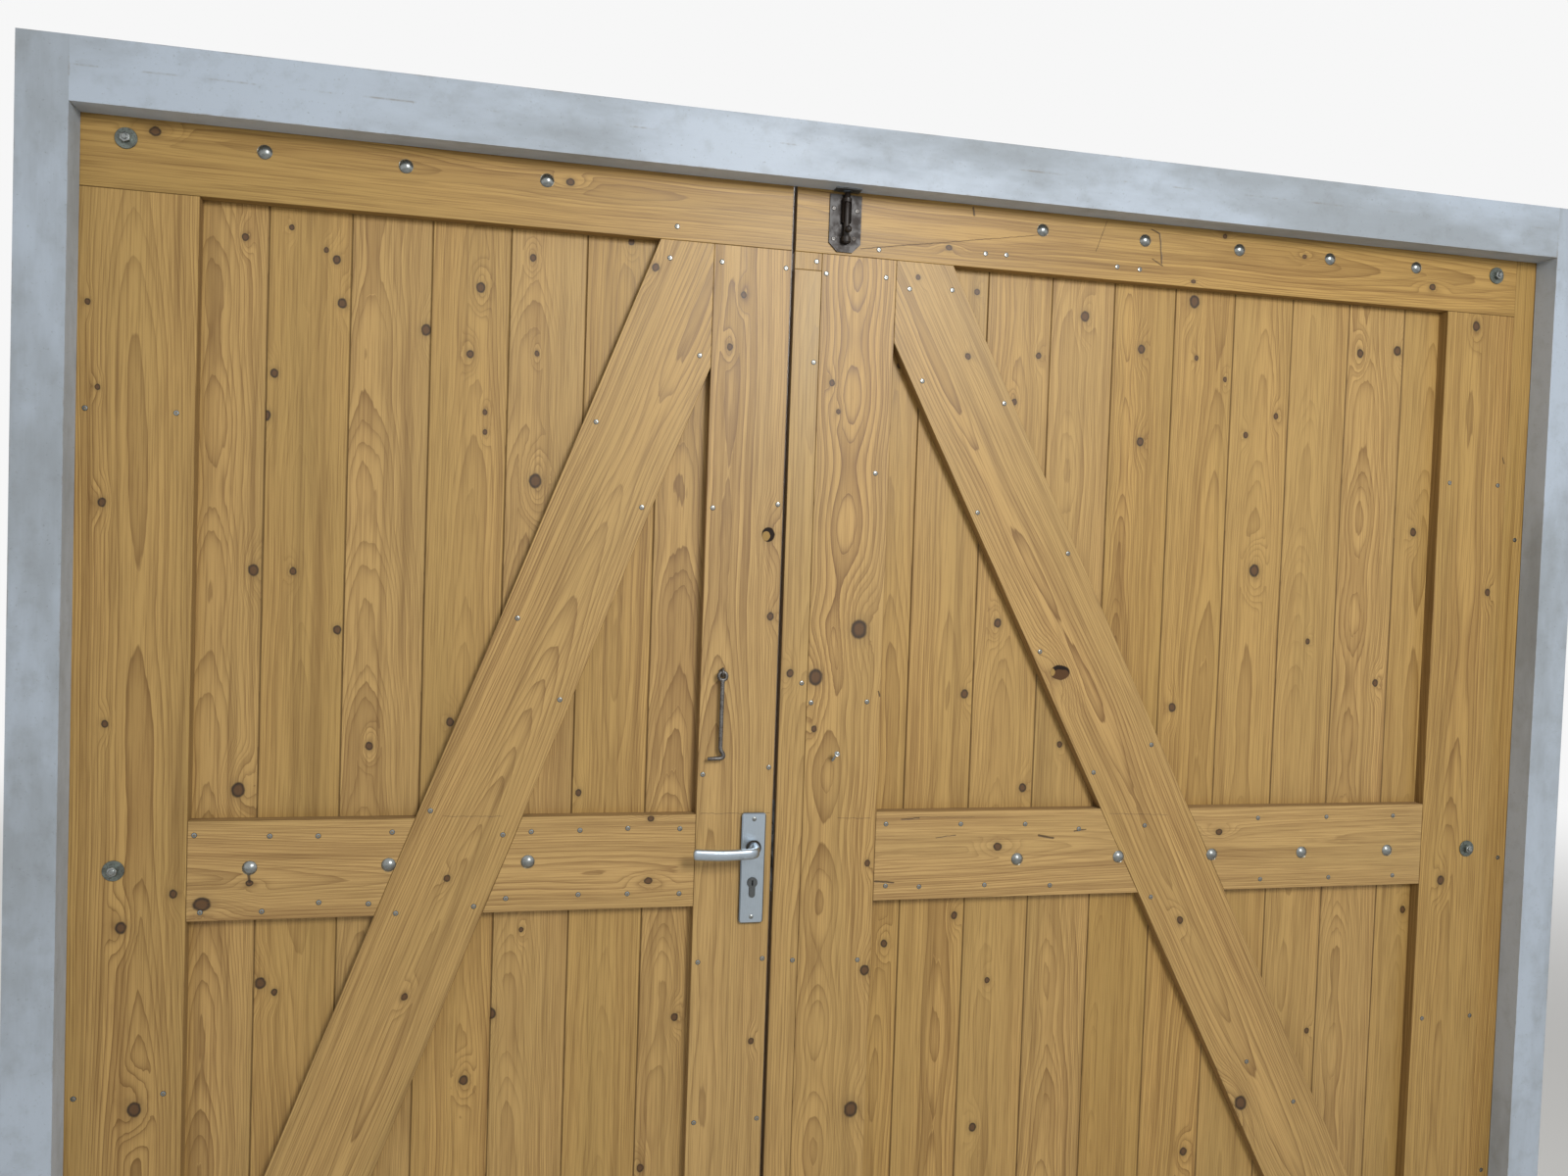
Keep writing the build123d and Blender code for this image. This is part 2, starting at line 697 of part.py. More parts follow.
def cylinder_plug():
    """The turning plug with a keyway at both ends."""
    y0 = leaf_inner - plate_thickness - cylinder_proud - 0.5
    y1 = leaf_outer + plate_thickness + cylinder_proud + 0.5
    plug = rod_along_y(lock_x, cylinder_z, plug_radius, y0, y1)
    for a, b in ((y0 - 1, y0 + 16), (y1 - 16, y1 + 1)):
        plug -= block(lock_x - 1.1, lock_x + 1.1, a, b, cylinder_z - 4.6, cylinder_z + 4.0)
    return plug


def lock_cuts():
    """What the lock furniture takes out of the left leaf's meeting edge."""
    y0, y1 = leaf_inner - 5, leaf_outer + 5
    return [case_block(case_clearance),
            bar_along_y(lock_x, spindle_height, neck_radius + 1, y0, y1, cylinder_sides),
            profile_hole(1.0, y0, y1)]


def strike_hole(height, thickness, centre):
    """A hole in the strike plate for the latch or the deadbolt."""
    y, half_y = leaf_middle, thickness / 2 + strike_hole_clearance
    half_z = height / 2 + strike_hole_clearance
    return block(right_meeting - 1, right_meeting + 2 * forend_thickness, y - half_y, y + half_y,
                 centre - half_z, centre + half_z)


def strike_body(grow):
    """The strike plate's outline, let into the right leaf's meeting edge."""
    middle = (dead_centre + latch_centre) / 2
    half_y, half_z = strike_width / 2 + grow, strike_height / 2 + grow
    return block(right_meeting, right_meeting + forend_thickness + grow, leaf_middle - half_y,
                 leaf_middle + half_y, middle - half_z, middle + half_z)


def strike_cuts():
    """The plate's recess and one mortise behind it for both bolts."""
    half = latch_thickness / 2 + strike_hole_clearance
    deep = dead_throw - meeting_gap + strike_pocket_clearance
    mortise = block(right_meeting - 1, right_meeting + deep, leaf_middle - half, leaf_middle + half,
                    dead_centre - dead_height / 2 - strike_hole_clearance,
                    latch_centre + latch_height / 2 + strike_hole_clearance)
    return [mortise, strike_body(case_clearance)]


def strike_plate():
    """The plate in the right leaf's edge with holes for latch and deadbolt."""
    plate = strike_body(0) - strike_hole(latch_height, latch_thickness, latch_centre)
    return plate - strike_hole(dead_height, dead_thickness, dead_centre)


def wire_ring(plane, radius, wire):
    """A ring of round wire, bent in the plane and lightly facetted."""
    outline = RegularPolygon(radius + wire, ring_sides) - RegularPolygon(radius - wire, ring_sides)
    ring = extrude(plane * outline, amount=wire, both=True)
    flats = ring.faces().filter_by(Axis(plane.origin, plane.z_dir))
    return ring.chamfer(wire * 0.58, None, flats.edges())


def hook_eye():
    """The screw eye that the cabin hook hangs from."""
    ring = wire_ring(Plane(origin=(hook_x, hook_y, hook_eye_height), x_dir=(0, 1, 0), z_dir=(1, 0, 0)),
                     eye_ring, eye_wire)
    return ring + bar_along_y(hook_x, hook_eye_height, eye_wire, hook_y + eye_ring, leaf_middle - 4)


def cabin_hook():
    """The hook hanging straight down from the screw eye."""
    wire_top = hook_eye_height - eye_ring + eye_wire
    centre = wire_top + hook_play - (hook_ring - hook_wire)
    ring = wire_ring(Plane(origin=(hook_x, hook_y, centre), x_dir=(1, 0, 0), z_dir=(0, 1, 0)),
                     hook_ring, hook_wire)
    top = (hook_x, hook_y, centre - hook_ring)
    low = centre - hook_drop
    path = FilletPolyline(top, (hook_x, hook_y, low + 14), (hook_x + hook_bow, hook_y, low + 6),
                          (hook_x + 3, hook_y, low), (hook_x + hook_bow - hook_tip, hook_y, low - 1),
                          radius=3.0)
    section = Plane(origin=top, x_dir=(1, 0, 0), z_dir=(0, 0, -1)) * RegularPolygon(hook_wire, shank_sides)
    return ring + sweep(section, path=path)


def hook_stem_hole():
    """The hole that the screw eye is turned into."""
    return bar_along_y(hook_x, hook_eye_height, eye_wire + 0.1, leaf_inner - 1, leaf_middle - 3.5)


def tower_plate():
    """The bolt's base plate with its arched housing and lower guide."""
    half = tower_plate_width / 2
    c = tower_corner
    z0, z1 = tower_plate_low, tower_plate_high
    points = [(tower_x - half + c, z0), (tower_x + half - c, z0), (tower_x + half, z0 + c),
              (tower_x + half, z1), (tower_x - half, z1), (tower_x - half, z0 + c)]
    plate = plate_from(points, leaf_inner - tower_plate_thickness, leaf_inner)
    bore = tower_rod_radius + tower_rod_clearance
    outer = bore + housing_wall
    face = leaf_inner - tower_plate_thickness
    for low, high in ((housing_low, housing_high), (guide_low, guide_high)):
        arch = rod_along_z(tower_x, rod_y, outer, low, high)
        arch += block(tower_x - outer, tower_x + outer, rod_y, face, low, high)
        plate += arch
    plate -= rod_along_z(tower_x, rod_y, bore, guide_low - 1, housing_high + 1)
    slot = block(tower_x - knob_radius - 0.5, tower_x + knob_radius + 0.5, rod_y - 20, rod_y,
                 housing_low - 1, housing_high - 6)
    return plate - slot


def tower_rod():
    """The round bolt with its knob."""
    top = clear_height - keep_plate_thickness - 2
    rod = rod_along_z(tower_x, rod_y, tower_rod_radius, guide_low - 2, top)
    rod = chamfer(rod.edges().sort_by(Axis.Z)[-1], 1.5)
    neck = bar_along_y(tower_x, knob_z, knob_radius * 0.7, rod_y, rod_y - knob_length / 2)
    knob = bar_along_y(tower_x, knob_z, knob_radius, rod_y - knob_length, rod_y - knob_length / 2,
                       dome_sides)
    return rod + neck + knob.chamfer(knob_radius * 0.3, None, knob.faces().filter_by(Axis.Y).edges())


def main():
    os.makedirs("parts", exist_ok=True)
    save(frame_post(-1), "left_post")
    save(frame_post(1), "right_post")
    save(frame_head(), "head")
    save(head_stop(), "head_stop")
    save(keep_plate(), "keep_plate")
    left_cuts = bolt_holes("left") + lock_cuts() + [hook_stem_hole()]
    right_cuts = bolt_holes("right") + strike_cuts()
    leaf_boards("left", left_cuts[:-1])
    leaf_boards("right", right_cuts)
    left_framing(left_cuts)
    right_framing(right_cuts)
    for leaf in ("left", "right"):
        leaf_straps(leaf, bolt_holes(leaf))
        leaf_fasteners(leaf)
    pintles()
    save(union([lever_plate(False), lever_plate(True)]), "lever_plates")
    save(union([lever(False), lever(True)]), "levers")
    save(spindle(), "spindle")
    save(lock_case(), "lock_case")
    save(latch_bolt(), "latch_bolt")
    save(dead_box(0, 0), "deadbolt")
    save(lock_cylinder(), "lock_cylinder")
    save(cylinder_plug(), "cylinder_plug")
    save(strike_plate(), "strike_plate")
    save(hook_eye(), "hook_eye")
    save(cabin_hook(), "cabin_hook")
    save(tower_plate(), "tower_bolt_plate")
    save(tower_rod(), "tower_bolt_rod")


main()
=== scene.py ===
import json
import math

import bmesh
import bpy
from mathutils import Euler, Matrix, Vector


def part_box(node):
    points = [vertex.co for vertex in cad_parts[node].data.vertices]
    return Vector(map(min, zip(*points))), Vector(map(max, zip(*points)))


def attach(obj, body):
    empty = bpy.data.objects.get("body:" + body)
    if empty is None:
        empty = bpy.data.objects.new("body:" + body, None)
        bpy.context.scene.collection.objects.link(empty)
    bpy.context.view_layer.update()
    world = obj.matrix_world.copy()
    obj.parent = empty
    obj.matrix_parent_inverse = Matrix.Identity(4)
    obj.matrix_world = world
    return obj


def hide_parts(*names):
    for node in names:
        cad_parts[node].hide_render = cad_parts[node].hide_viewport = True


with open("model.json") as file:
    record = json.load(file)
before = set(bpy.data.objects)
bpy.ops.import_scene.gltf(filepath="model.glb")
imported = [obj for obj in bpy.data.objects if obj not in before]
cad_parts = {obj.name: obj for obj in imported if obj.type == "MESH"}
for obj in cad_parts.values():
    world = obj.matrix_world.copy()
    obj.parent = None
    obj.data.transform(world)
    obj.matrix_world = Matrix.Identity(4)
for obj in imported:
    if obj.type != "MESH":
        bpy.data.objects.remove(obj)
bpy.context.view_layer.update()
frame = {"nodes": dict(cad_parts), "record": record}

bl_info = {
    "name": "Timber garage door finish",
    "version": (1, 0, 0),
    "blender": (4, 5, 0),
    "location": "3D View > Sidebar > Garage Door",
    "description": "Varnished pine, painted frame and furniture for a pair of boarded garage doors",
    "category": "Object",
}

# Places on the door are in millimetres: X across, Y outwards from the room, Z up from the floor.
ROOM_FACE = 1.0
OUTER_FACE = 45.0
STRAP_FACE = 50.0
SPINDLE = (1037.5, 1050.0)
COVER_PLATE_THICKNESS = 8.0
COVER_PLATE_SCREWS = (1096.5, 937.0)
TOWER_BOLT = (1155.0, -8.5)
TOWER_BOLT_ENDS = (2031.0, 2112.0)
TOWER_BOLT_RADIUS = 5.0
TOWER_BOLT_SCREWS = ((1136, 2038), (1170, 2041), (1135, 2087), (1174, 2086))

# The tower bolt's knob: its height on the door, and the radius and rise of its ball.
KNOB_HEIGHT = 2050.0
KNOB_BALL = (5.5, 14.5)

# A screw that stands proud of the wood: its place, the way it leans, and its thread's pitch, root
# and crest.
PROUD_SCREW = (1167.0, ROOM_FACE, 1190.5)
PROUD_SCREW_LEAN = (0.06, -0.83, 0.555)
PROUD_SCREW_THREAD = (1.3, 1.5, 2.0)

# The screw eye's place and radius. Then the hook that hangs in it: the rise of its bow over the
# eye's middle, the bow's radius and half its thickness, and the wire's route, across and up.
EYE_PLACE = (977.5, -10.0, 1334.0)
EYE_RADIUS = 6.0
HOOK_BOW = (-6.0, 6.2, 3.2)
HOOK_ROUTE = ((0.0, -12.0), (0.0, -124.0), (5.5, -132.0), (4.5, -137.5), (-20.0, -139.0))
HOOK_BEND = 4.0

# The lock leaf's two faces, each with the way it looks along Y.
LOCK_SIDES = ((ROOM_FACE, -1), (OUTER_FACE, 1))

# Coach bolts of a leaf: heights of its rails, places across them, and the place on its hinge stile.
BOLTS = {
    "left": ((87.0, 1033.0, 2086.0), (277.0, 474.0, 681.0), 92.5),
    "right": ((87.0, 1019.0, 2086.0), (1499.5, 1689.0, 1870.5, 2051.5, 2230.5), 2402.5),
}
DOME_RIM = 0.7
SHANK_RADIUS = 4.0
SHANK_CHAMFER = 0.8
SHANK_PAST_STRAP = 9.5
SHANK_PAST_STILE = 11.5
NUT_RADIUS = 7.5
NUT_HEIGHT = 6.5
NUT_BEVEL = 0.7
WASHER_THICKNESS = 2.0

# From the first to the second of these rises, a washer and the foot of the nut on it are dull.
DULL_RISES = (-0.5, WASHER_THICKNESS + 0.2)

# Profiles of turned pieces, as (radius, rise) in millimetres over the face that they stand on.
WASHER = ((4.3, 0.0), (15.0, 0.0), (15.0, 1.6), (14.6, WASHER_THICKNESS), (4.3, WASHER_THICKNESS))
COVER_PLATE_SCREW = ((3.7, 0.0), (3.7, 0.3), (2.9, 0.9), (1.5, 1.3), (0.6, 1.3), (0.4, 0.6),
                     (0.0, 0.5))
LEVER_NECK = ((0.0, 1.0), (9.0, 1.0), (9.0, 16.0), (8.2, 19.0), (6.0, 20.0))
# A thin dark ring round each lever's neck, painted shadow of the gap at the cover plate.
NECK_SHADOW_RING = ((9.2, 2.0), (12.0, 2.0), (12.6, 2.25), (9.2, 2.25))
KNOB_NECK = ((3.6, -1.0), (3.2, 6.0), (3.4, 9.0))
PROUD_SCREW_HEAD = ((1.9, 22.6), (4.5, 25.0), (4.5, 25.6), (3.4, 26.0), (2.1, 25.9), (1.4, 25.0),
                    (0.0, 24.8))

# Half the depth and height of a lever's section at its neck and near its tip. Then its rounded
# tip, as how far out it is and the share of the section that is left, and the radius of its bend.
LEVER_SECTIONS = (Vector((5.9, 8.2)), Vector((5.4, 8.7)))
LEVER_TIP = ((1.6, 0.96), (3.0, 0.84), (4.0, 0.66), (4.5, 0.4))
LEVER_BEND = 17.0

# Middle of each brace, across and up, and its lean from upright in degrees, positive to the right.
BRACES = {"left_brace": (584.9, 1087.5, 20.85), "right_brace": (1744.6, 1087.5, -27.65)}
BRACE_HALF_WIDTH = 74.5

# Knots: across, up and radius. The dark rim is drawn at KNOT_RIM of that radius, and NO_KNOT is the
# distance, in such radii, where there is none.
KNOT_RIM = 0.92
NO_KNOT = 9.0
KNOTS = {
    "left_board_02": ((248, 1966, 5), (269, 1475, 8), (254, 1145, 10)),
    "left_board_03": ((312, 1986, 4), (361, 1957, 4), (376, 1944, 6), (385, 1880, 7),
                      (292, 1769, 6), (282, 1706, 7), (324, 1475, 5), (389, 1388, 6),
                      (291, 851, 8), (311, 836, 5)),
    "left_board_04": ((507, 1849, 8), (439, 1211, 6), (470, 640, 7)),
    "left_board_05": ((586, 1920, 7), (573, 1817, 6), (597, 1729, 4), (598, 1699, 4),
                      (557, 1248, 6), (592, 683, 7)),
    "left_board_06": ((663, 1972, 5), (673, 1825, 4), (676, 1627, 10), (674, 919, 4),
                      (631, 787, 8)),
    "left_board_07": ((814, 2010, 5), (757, 1136, 5)),
    "left_board_08": ((922, 766, 6), (874, 520, 6)),
    "left_brace": ((851, 1968, 6), (502, 828, 5), (560, 1010, 5)),
    "left_hinge_stile": ((46, 1851, 4), (61, 1731, 4), (69, 1567, 6), (78, 1247, 5),
                         (173, 997, 6), (104, 949, 8), (126, 679, 10)),
    "left_meeting_stile": ((993, 1937, 5), (973, 1853, 5), (1046, 1557, 9), (1054, 1425, 6),
                           (1046, 729, 5)),
    "left_mid_rail": ((871, 1098, 5), (870, 998, 6), (212, 980, 11), (277, 1010, 5)),
    "left_top_rail": ((716, 2087, 6), (130, 2100, 7)),
    "right_board_01": ((1264, 1847, 5), (1274, 874, 6)),
    "right_board_02": ((1395, 1979, 5), (1401, 1299, 7), (1398, 918, 6)),
    "right_board_03": ((1511, 1880, 5), (1470, 1799, 5), (1456, 1421, 7), (1514, 1137, 7),
                       (1463, 803, 5), (1447, 546, 7)),
    "right_board_04": ((1594, 1953, 8), (1580, 1212, 5)),
    "right_board_05": ((1703, 1905, 7), (1708, 1744, 7)),
    "right_board_06": ((1801, 1995, 10), (1810, 1897, 4), (1868, 1863, 4), (1793, 1278, 7),
                       (1855, 472, 7)),
    "right_board_07": ((1973, 1804, 5), (1914, 1767, 5), (1944, 1526, 10)),
    "right_board_08": ((2097, 680, 5), (2060, 1400, 5)),
    "right_board_09": ((2218, 1938, 8), (2140, 1928, 7), (2206, 1326, 6)),
    "right_board_10": ((2271, 1607, 7), (2290, 900, 6)),
    "right_brace": ((1283, 1989, 4), (1375, 1866, 5), (1564, 1340, 11), (1814, 903, 6),
                    (1952, 565, 12)),
    "right_meeting_stile": ((1143, 1807, 5), (1155, 1761, 4), (1204, 1407, 14), (1133, 1327, 12),
                            (1133, 1242, 5), (1233, 1018, 5), (1235, 838, 8), (1220, 604, 12)),
    "right_meeting_strip": ((1090, 1333, 6),),
    "right_mid_rail": ((1883, 1059, 6), (1463, 1041, 7)),
    "right_top_rail": ((1841, 2107, 4), (2000, 2086, 4), (2267, 2054, 6), (1334, 2042, 5),
                       (1784, 2024, 4)),
    "right_hinge_stile": ((2365, 1990, 8), (2420, 1500, 6), (2350, 960, 8)),
}

# Holes that a knot fell out of, painted dark as the shade in them: across, up, half width and half
# height. Then the same of patches in the hole, with the name and the share of their colour; the
# pale ones are painted light on the hole's lit inner wall.
SHADED_KNOT_HOLES = {
    "left_meeting_stile": ((1046, 1556.7, 10.8, 12.0), ((1042.5, 1554.2, 6.4, 8.0, "pale", 0.72),)),
    "right_brace": ((1564.5, 1340, 18.0, 12.5),
                    ((1566.5, 1335.5, 15.5, 9.8, "heart", 1.0),
                     (1551, 1340, 4.4, 6.5, "pale", 0.75))),
}

# Countersunk screws: across and up. Then how far the heads stand out from the room face, on the
# wood and on the tower bolt's plate.
SCREWS = {
    "left_leaf": (
        (873, 1985), (925, 1836), (766, 1722), (841, 1592), (655, 1413), (723, 1287), (533, 1115),
        (642, 1076), (601, 965), (486, 958), (956, 1986), (1060, 1985), (1060, 1606), (954, 1596),
        (1060, 1179), (952, 1168), (1060, 865), (954, 863), (478, 1083), (835, 1083), (760, 1081),
        (918, 1081), (304, 1080), (685, 1080), (372, 1079), (760, 979), (375, 978), (837, 978),
        (649, 976), (920, 976), (446, 974), (295, 967), (883, 2035), (200, 1083), (210, 968),
        (956, 600), (1060, 600), (956, 300), (1060, 300), (330, 480), (250, 420), (45, 1700),
        (165, 1700), (45, 700), (165, 700)),
    "right_leaf": (
        (1343, 1973), (1269, 1969), (1297, 1820), (1443, 1792), (1403, 1607), (1570, 1544),
        (1526, 1375), (1743, 1215), (1635, 1167), (1737, 1073), (1755, 946), (1110, 2000),
        (1228, 1984), (1127, 1982), (1222, 1664), (1222, 1287), (1127, 1285), (1222, 856),
        (1111, 1838), (1110, 1317), (1111, 860), (1263, 1083), (1395, 1081), (1512, 1079),
        (1612, 1069), (1266, 979), (1325, 976), (1442, 976), (1562, 972), (1436, 2039),
        (1399, 2038), (1639, 2037), (1681, 2036), (1214, 2028), (1960, 1083), (2100, 1083),
        (2240, 1083), (1970, 972), (2110, 972), (2245, 972), (2325, 1700), (2430, 1700),
        (2325, 700), (2430, 700), (2474, 1600), (2474, 1000), (2474, 400), (1960, 640),
        (2060, 560)),
}
SCREW_RISE = 0.25
TOWER_BOLT_SCREW_RISE = 3.3

# Reach of a screw's cross recess along its arms and between them, in radii of the head.
RECESS_REACH = (0.56, 0.24)

# Thin dark lines on the wood, as across and up at both ends and a width: pencil marks, cracks and
# dark strokes.
LINES = {
    "left_meeting_stile": ((950, 1105, 1064, 1104, 0.8),),
    "right_meeting_stile": ((1179, 1094, 1236, 1093, 0.8), (1241, 1304, 1244, 1296, 3.0)),
    "left_brace": ((552, 1106, 640, 1105, 0.7),),
    "right_brace": ((1668, 1095, 1780, 1091, 0.7),),
    "right_mid_rail": ((1248, 987, 1280, 984, 3.6), (1538, 1059, 1565, 1054, 4.2),
                       (1290, 1090, 1321, 1092, 2.2), (1603, 1065, 1625, 1068, 2.4),
                       (1352, 1058, 1386, 1062, 1.6), (1300, 1094, 1420, 1092, 0.6)),
    "left_mid_rail": ((276, 1022, 277, 1012, 4.5),),
    # Dark strokes on the right top rail.
    "right_top_rail": ((1183, 2027, 1320, 2049, 1.4), (1320, 2049, 1492, 2077, 1.2),
                       (1617, 2113, 1598, 2060, 1.1), (1374, 2112, 1376, 2099, 3.5),
                       (1700, 2106, 1716, 2100, 2.6), (1716, 2100, 1722, 2050, 2.8),
                       (1704, 2056, 1724, 2046, 2.2)),
    "right_hinge_stile": ((2438, 1752, 2441, 1741, 2.6),),
}

# Grain of single pieces: ring width, distance and side of the log's heart (mm), slant, seed and
# lightness. For some, then the depth and length of the log's swellings (mm).
GRAIN = {
    "right_meeting_stile": (4.4, 30, -20, 0.004, 3.1, 0.02, 3.4, 205),
    "right_meeting_strip": (3.0, 60, 30, 0.01, 8.4, 0.03),
    "left_meeting_stile": (3.6, 48, -34, 0.012, 5.7, 0.05),
    "left_hinge_stile": (4.2, 30, 12, 0.016, 1.3, 0.0),
    "right_hinge_stile": (3.9, 34, -10, 0.014, 6.6, -0.02),
    "left_brace": (3.8, 32, 20, 0.012, 9.2, 0.03),
    "right_brace": (3.6, 36, -16, -0.012, 4.8, 0.03),
    "left_mid_rail": (3.4, 28, 10, 0.022, 2.2, 0.05),
    "right_mid_rail": (3.4, 32, -8, 0.016, 7.7, 0.06),
    "left_top_rail": (3.6, 34, 0, 0.012, 10.4, -0.03),
    "right_top_rail": (3.8, 30, 14, 0.014, 12.9, -0.04),
}

# Swellings of the pieces in GRAIN that give none (mm). Then how far the heart of a log wanders
# across and in depth, and how far its rings wave and fray, in metres.
USUAL_SWELLING = (0.8, 300)
HEART_WANDER = (0.07, 0.05)
RING_WAVE = 0.010
RING_RAGGEDNESS = 0.0011

# Half the width of a board that its neighbours leave in sight, and the reach of its dirty joints.
HALF_COVER = 0.0582
JOINT_DIRT = (0.0024, 0.0005)

# Depth below a saw-cut face at which its roughness starts, and on most pieces its painted shade
# too, and at which they are full, in metres.
SAW_CUT = (0.0008, 0.0003)

# Leaves the depth out of a place on a face.
ON_FACE = (1.0, 0.0, 1.0)

# Scale of the noise that frays the outlines of knots and marks, and its reach in metres.
FRAYED_OUTLINE = (90.0, 0.0035)

# Shader values of the thin old varnish.
VARNISH = {"Coat Weight": 0.08, "Coat Roughness": 0.3, "Specular IOR Level": 0.38}

# Points nearer than this are one point (m), and a CAD node's edges are sharp above this angle.
JOIN_DISTANCE = 0.00001
SHARP_ANGLE = 32

# Metal finishes by slot: the setting of its colour, its roughness, and what sets it apart.
METALS = {
    "zinc_steel": ("zinc", 0.2, {"grime": 0.4}),
    "dull_zinc": ("dull", 0.42, {"grime": 0.7}),
    # Nearly black zinc with dirt patches: painted shade on the screws' rims and recesses, and the
    # painted shadow rings round the lever necks.
    "grimy_zinc": ("zinc", 0.5, {"grime": 0.9, "share": 0.16}),
    "satin_aluminium": ("aluminium", 0.3,
                        {"grime": 0.25, "dirt": (96, 98, 102), "brushed": (0.2, 1.0, 1.0)}),
    "galvanised_steel": ("galvanised", 0.42, {"grime": 0.7, "dirt": (92, 82, 70)}),
    "lock_steel": ("steel", 0.34, {}),
    "nickel_brass": ("nickel", 0.32, {}),
    "dark_steel": ("dark", 0.36, {"grime": 0.8, "dirt": (58, 40, 28)}),
    "brown_iron": ("iron", 0.36, {"grime": 0.6, "dirt": (44, 31, 21), "metallic": 0.2}),
}

# The stage, in metres: its middle, how bright the background is, where the floor starts and ends to
# fade into it, how far the floor lies under the frame's feet, and half its size.
STAGE_MIDDLE = (1.26, 0.0, 0.0)
BACKGROUND = 0.93
FLOOR_FADE = (2.6, 8.0)
FLOOR_DROP = 0.001
FLOOR_SIZE = 40.0

# Lamps: name, place, target, size, and the name of the setting of its power.
LAMPS = (
    ("Key lamp", (1.85, -2.95, 2.75), (1.1, 0.0, 1.3), 0.9, "key_power"),
    ("Outer lamp", (-0.4, 3.6, 3.0), (1.26, 0.0, 1.0), 1.4, "back_power"),
)

# The camera: its place, its yaw, pitch and roll in degrees, and its lens and sensor's width in mm.
CAMERA_PLACE = (0.6635, -1.860, 1.5288)
CAMERA_TURN = (12.468, -1.726, 2.0)
CAMERA_LENS = (27.0, 36.0)


def srgb(red, green, blue):
    """A colour written as 0 to 255 values, as linear light."""
    def linear(value):
        value /= 255
        return value / 12.92 if value <= 0.04045 else ((value + 0.055) / 1.055) ** 2.4
    return linear(red), linear(green), linear(blue)


def colour(name, description, *value):
    """A colour property with its default."""
    return bpy.props.FloatVectorProperty(name=name, description=description, subtype="COLOR",
                                         size=3, min=0, max=1, default=srgb(*value))


def length(name, description, default):
    """A length property in metres."""
    return bpy.props.FloatProperty(name=name, description=description, unit="LENGTH",
                                   default=default, precision=4)


def power(name, description, default):
    """A lamp's power in watts."""
    return bpy.props.FloatProperty(name=name, description=description, unit="POWER",
                                   default=default)


class PineSettings(bpy.types.PropertyGroup):
    pale: colour("Early wood", "Pale wood between the growth rings", 184, 149, 88)
    late: colour("Late wood", "Darker line of each growth ring", 101, 67, 22)
    heart: colour("Knot", "Middle of a knot", 86, 59, 34)
    bark: colour("Knot rim", "Dark rim of a knot", 34, 21, 10)
    # The joint dirt colour also paints shade on the side and end faces of the pieces.
    dirt: colour("Joint dirt", "Dirt in joints and cracks", 44, 28, 14)
    ring_width: length("Ring width", "Usual distance between growth rings in a board", 0.0027)
    roughness: bpy.props.FloatProperty(name="Varnish roughness", min=0, max=1, default=0.42,
                                       description="How dull the old varnish is")


class PaintSettings(bpy.types.PropertyGroup):
    paint: colour("Paint", "Old white paint on the frame", 176, 187, 199)
    grime: colour("Grime", "Dirt on the paint", 118, 120, 116)
    bare: colour("Bare wood", "Wood where the paint is rubbed off", 128, 120, 106)
    rub: length("Rubbed width", "How far an arris is rubbed", 0.0012)


class MetalSettings(bpy.types.PropertyGroup):
    zinc: colour("Zinc", "Bolts, nuts and screws", 150, 154, 152)
    dull: colour("Dull zinc", "Washers", 122, 130, 124)
    aluminium: colour("Aluminium", "Lever furniture", 172, 183, 192)
    galvanised: colour("Galvanised steel", "Straps, pintles and keeps", 142, 147, 150)
    steel: colour("Lock steel", "Lock case and bolts", 150, 151, 150)
    nickel: colour("Dark nickel", "Lock cylinder", 98, 101, 102)
    dark: colour("Dark steel", "Cabin hook", 122, 121, 118)
    iron: colour("Brown iron", "Tower bolt", 27, 21, 17)


class FittingSettings(bpy.types.PropertyGroup):
    dome_radius: length("Dome radius", "Radius of a coach bolt's domed head", 0.0105)
    dome_height: length("Dome height", "Height of a coach bolt's domed head", 0.0055)
    screw_radius: length("Screw head radius", "Radius of a countersunk screw's head", 0.0041)
    lever_reach: length("Lever reach", "How far the lever stands out from the wood", 0.046)
    lever_length: length("Lever length", "From the spindle to the lever's tip", 0.1030)
    hook_wire: length("Hook wire radius", "Radius of the hook's wire", 0.0034)
    eye_wire: length("Eye wire radius", "Radius of the screw eye's wire", 0.0020)


class StageSettings(bpy.types.PropertyGroup):
    floor: colour("Floor", "Plain pale floor", 222, 221, 218)
    key_power: power("Key lamp", "Power of the soft lamp by the camera", 72.0)
    back_power: power("Outer lamp", "Power of the soft lamp outside", 60.0)
    ambient: bpy.props.FloatProperty(name="Ambient light", default=0.42,
                                     description="Even light from all sides")


def fill(tree, socket, value):
    """Links a socket's value to an input, or sets the input to a plain value."""
    if isinstance(value, bpy.types.NodeSocket):
        tree.links.new(value, socket)
    else:
        socket.default_value = value


def put(tree, kind, values=None, **properties):
    """Adds a node, sets its properties and fills its inputs."""
    node = tree.nodes.new(kind)
    for key, value in properties.items():
        setattr(node, key, value)
    for key, value in (values or {}).items():
        fill(tree, node.inputs[key], value)
    return node


def calc(tree, operation, first, second=0.0, third=0.0, clamp=False):
    """A Math node's result."""
    values = {0: first, 1: second, 2: third}
    return put(tree, "ShaderNodeMath", values, operation=operation, use_clamp=clamp).outputs[0]


def plus(tree, first, second):
    """The sum of two values."""
    return calc(tree, "ADD", first, second)


def minus(tree, first, second):
    """The difference of two values."""
    return calc(tree, "SUBTRACT", first, second)


def times(tree, first, second):
    """The product of two values."""
    return calc(tree, "MULTIPLY", first, second)


def most(tree, first, second):
    """The larger of two values."""
    return calc(tree, "MAXIMUM", first, second)


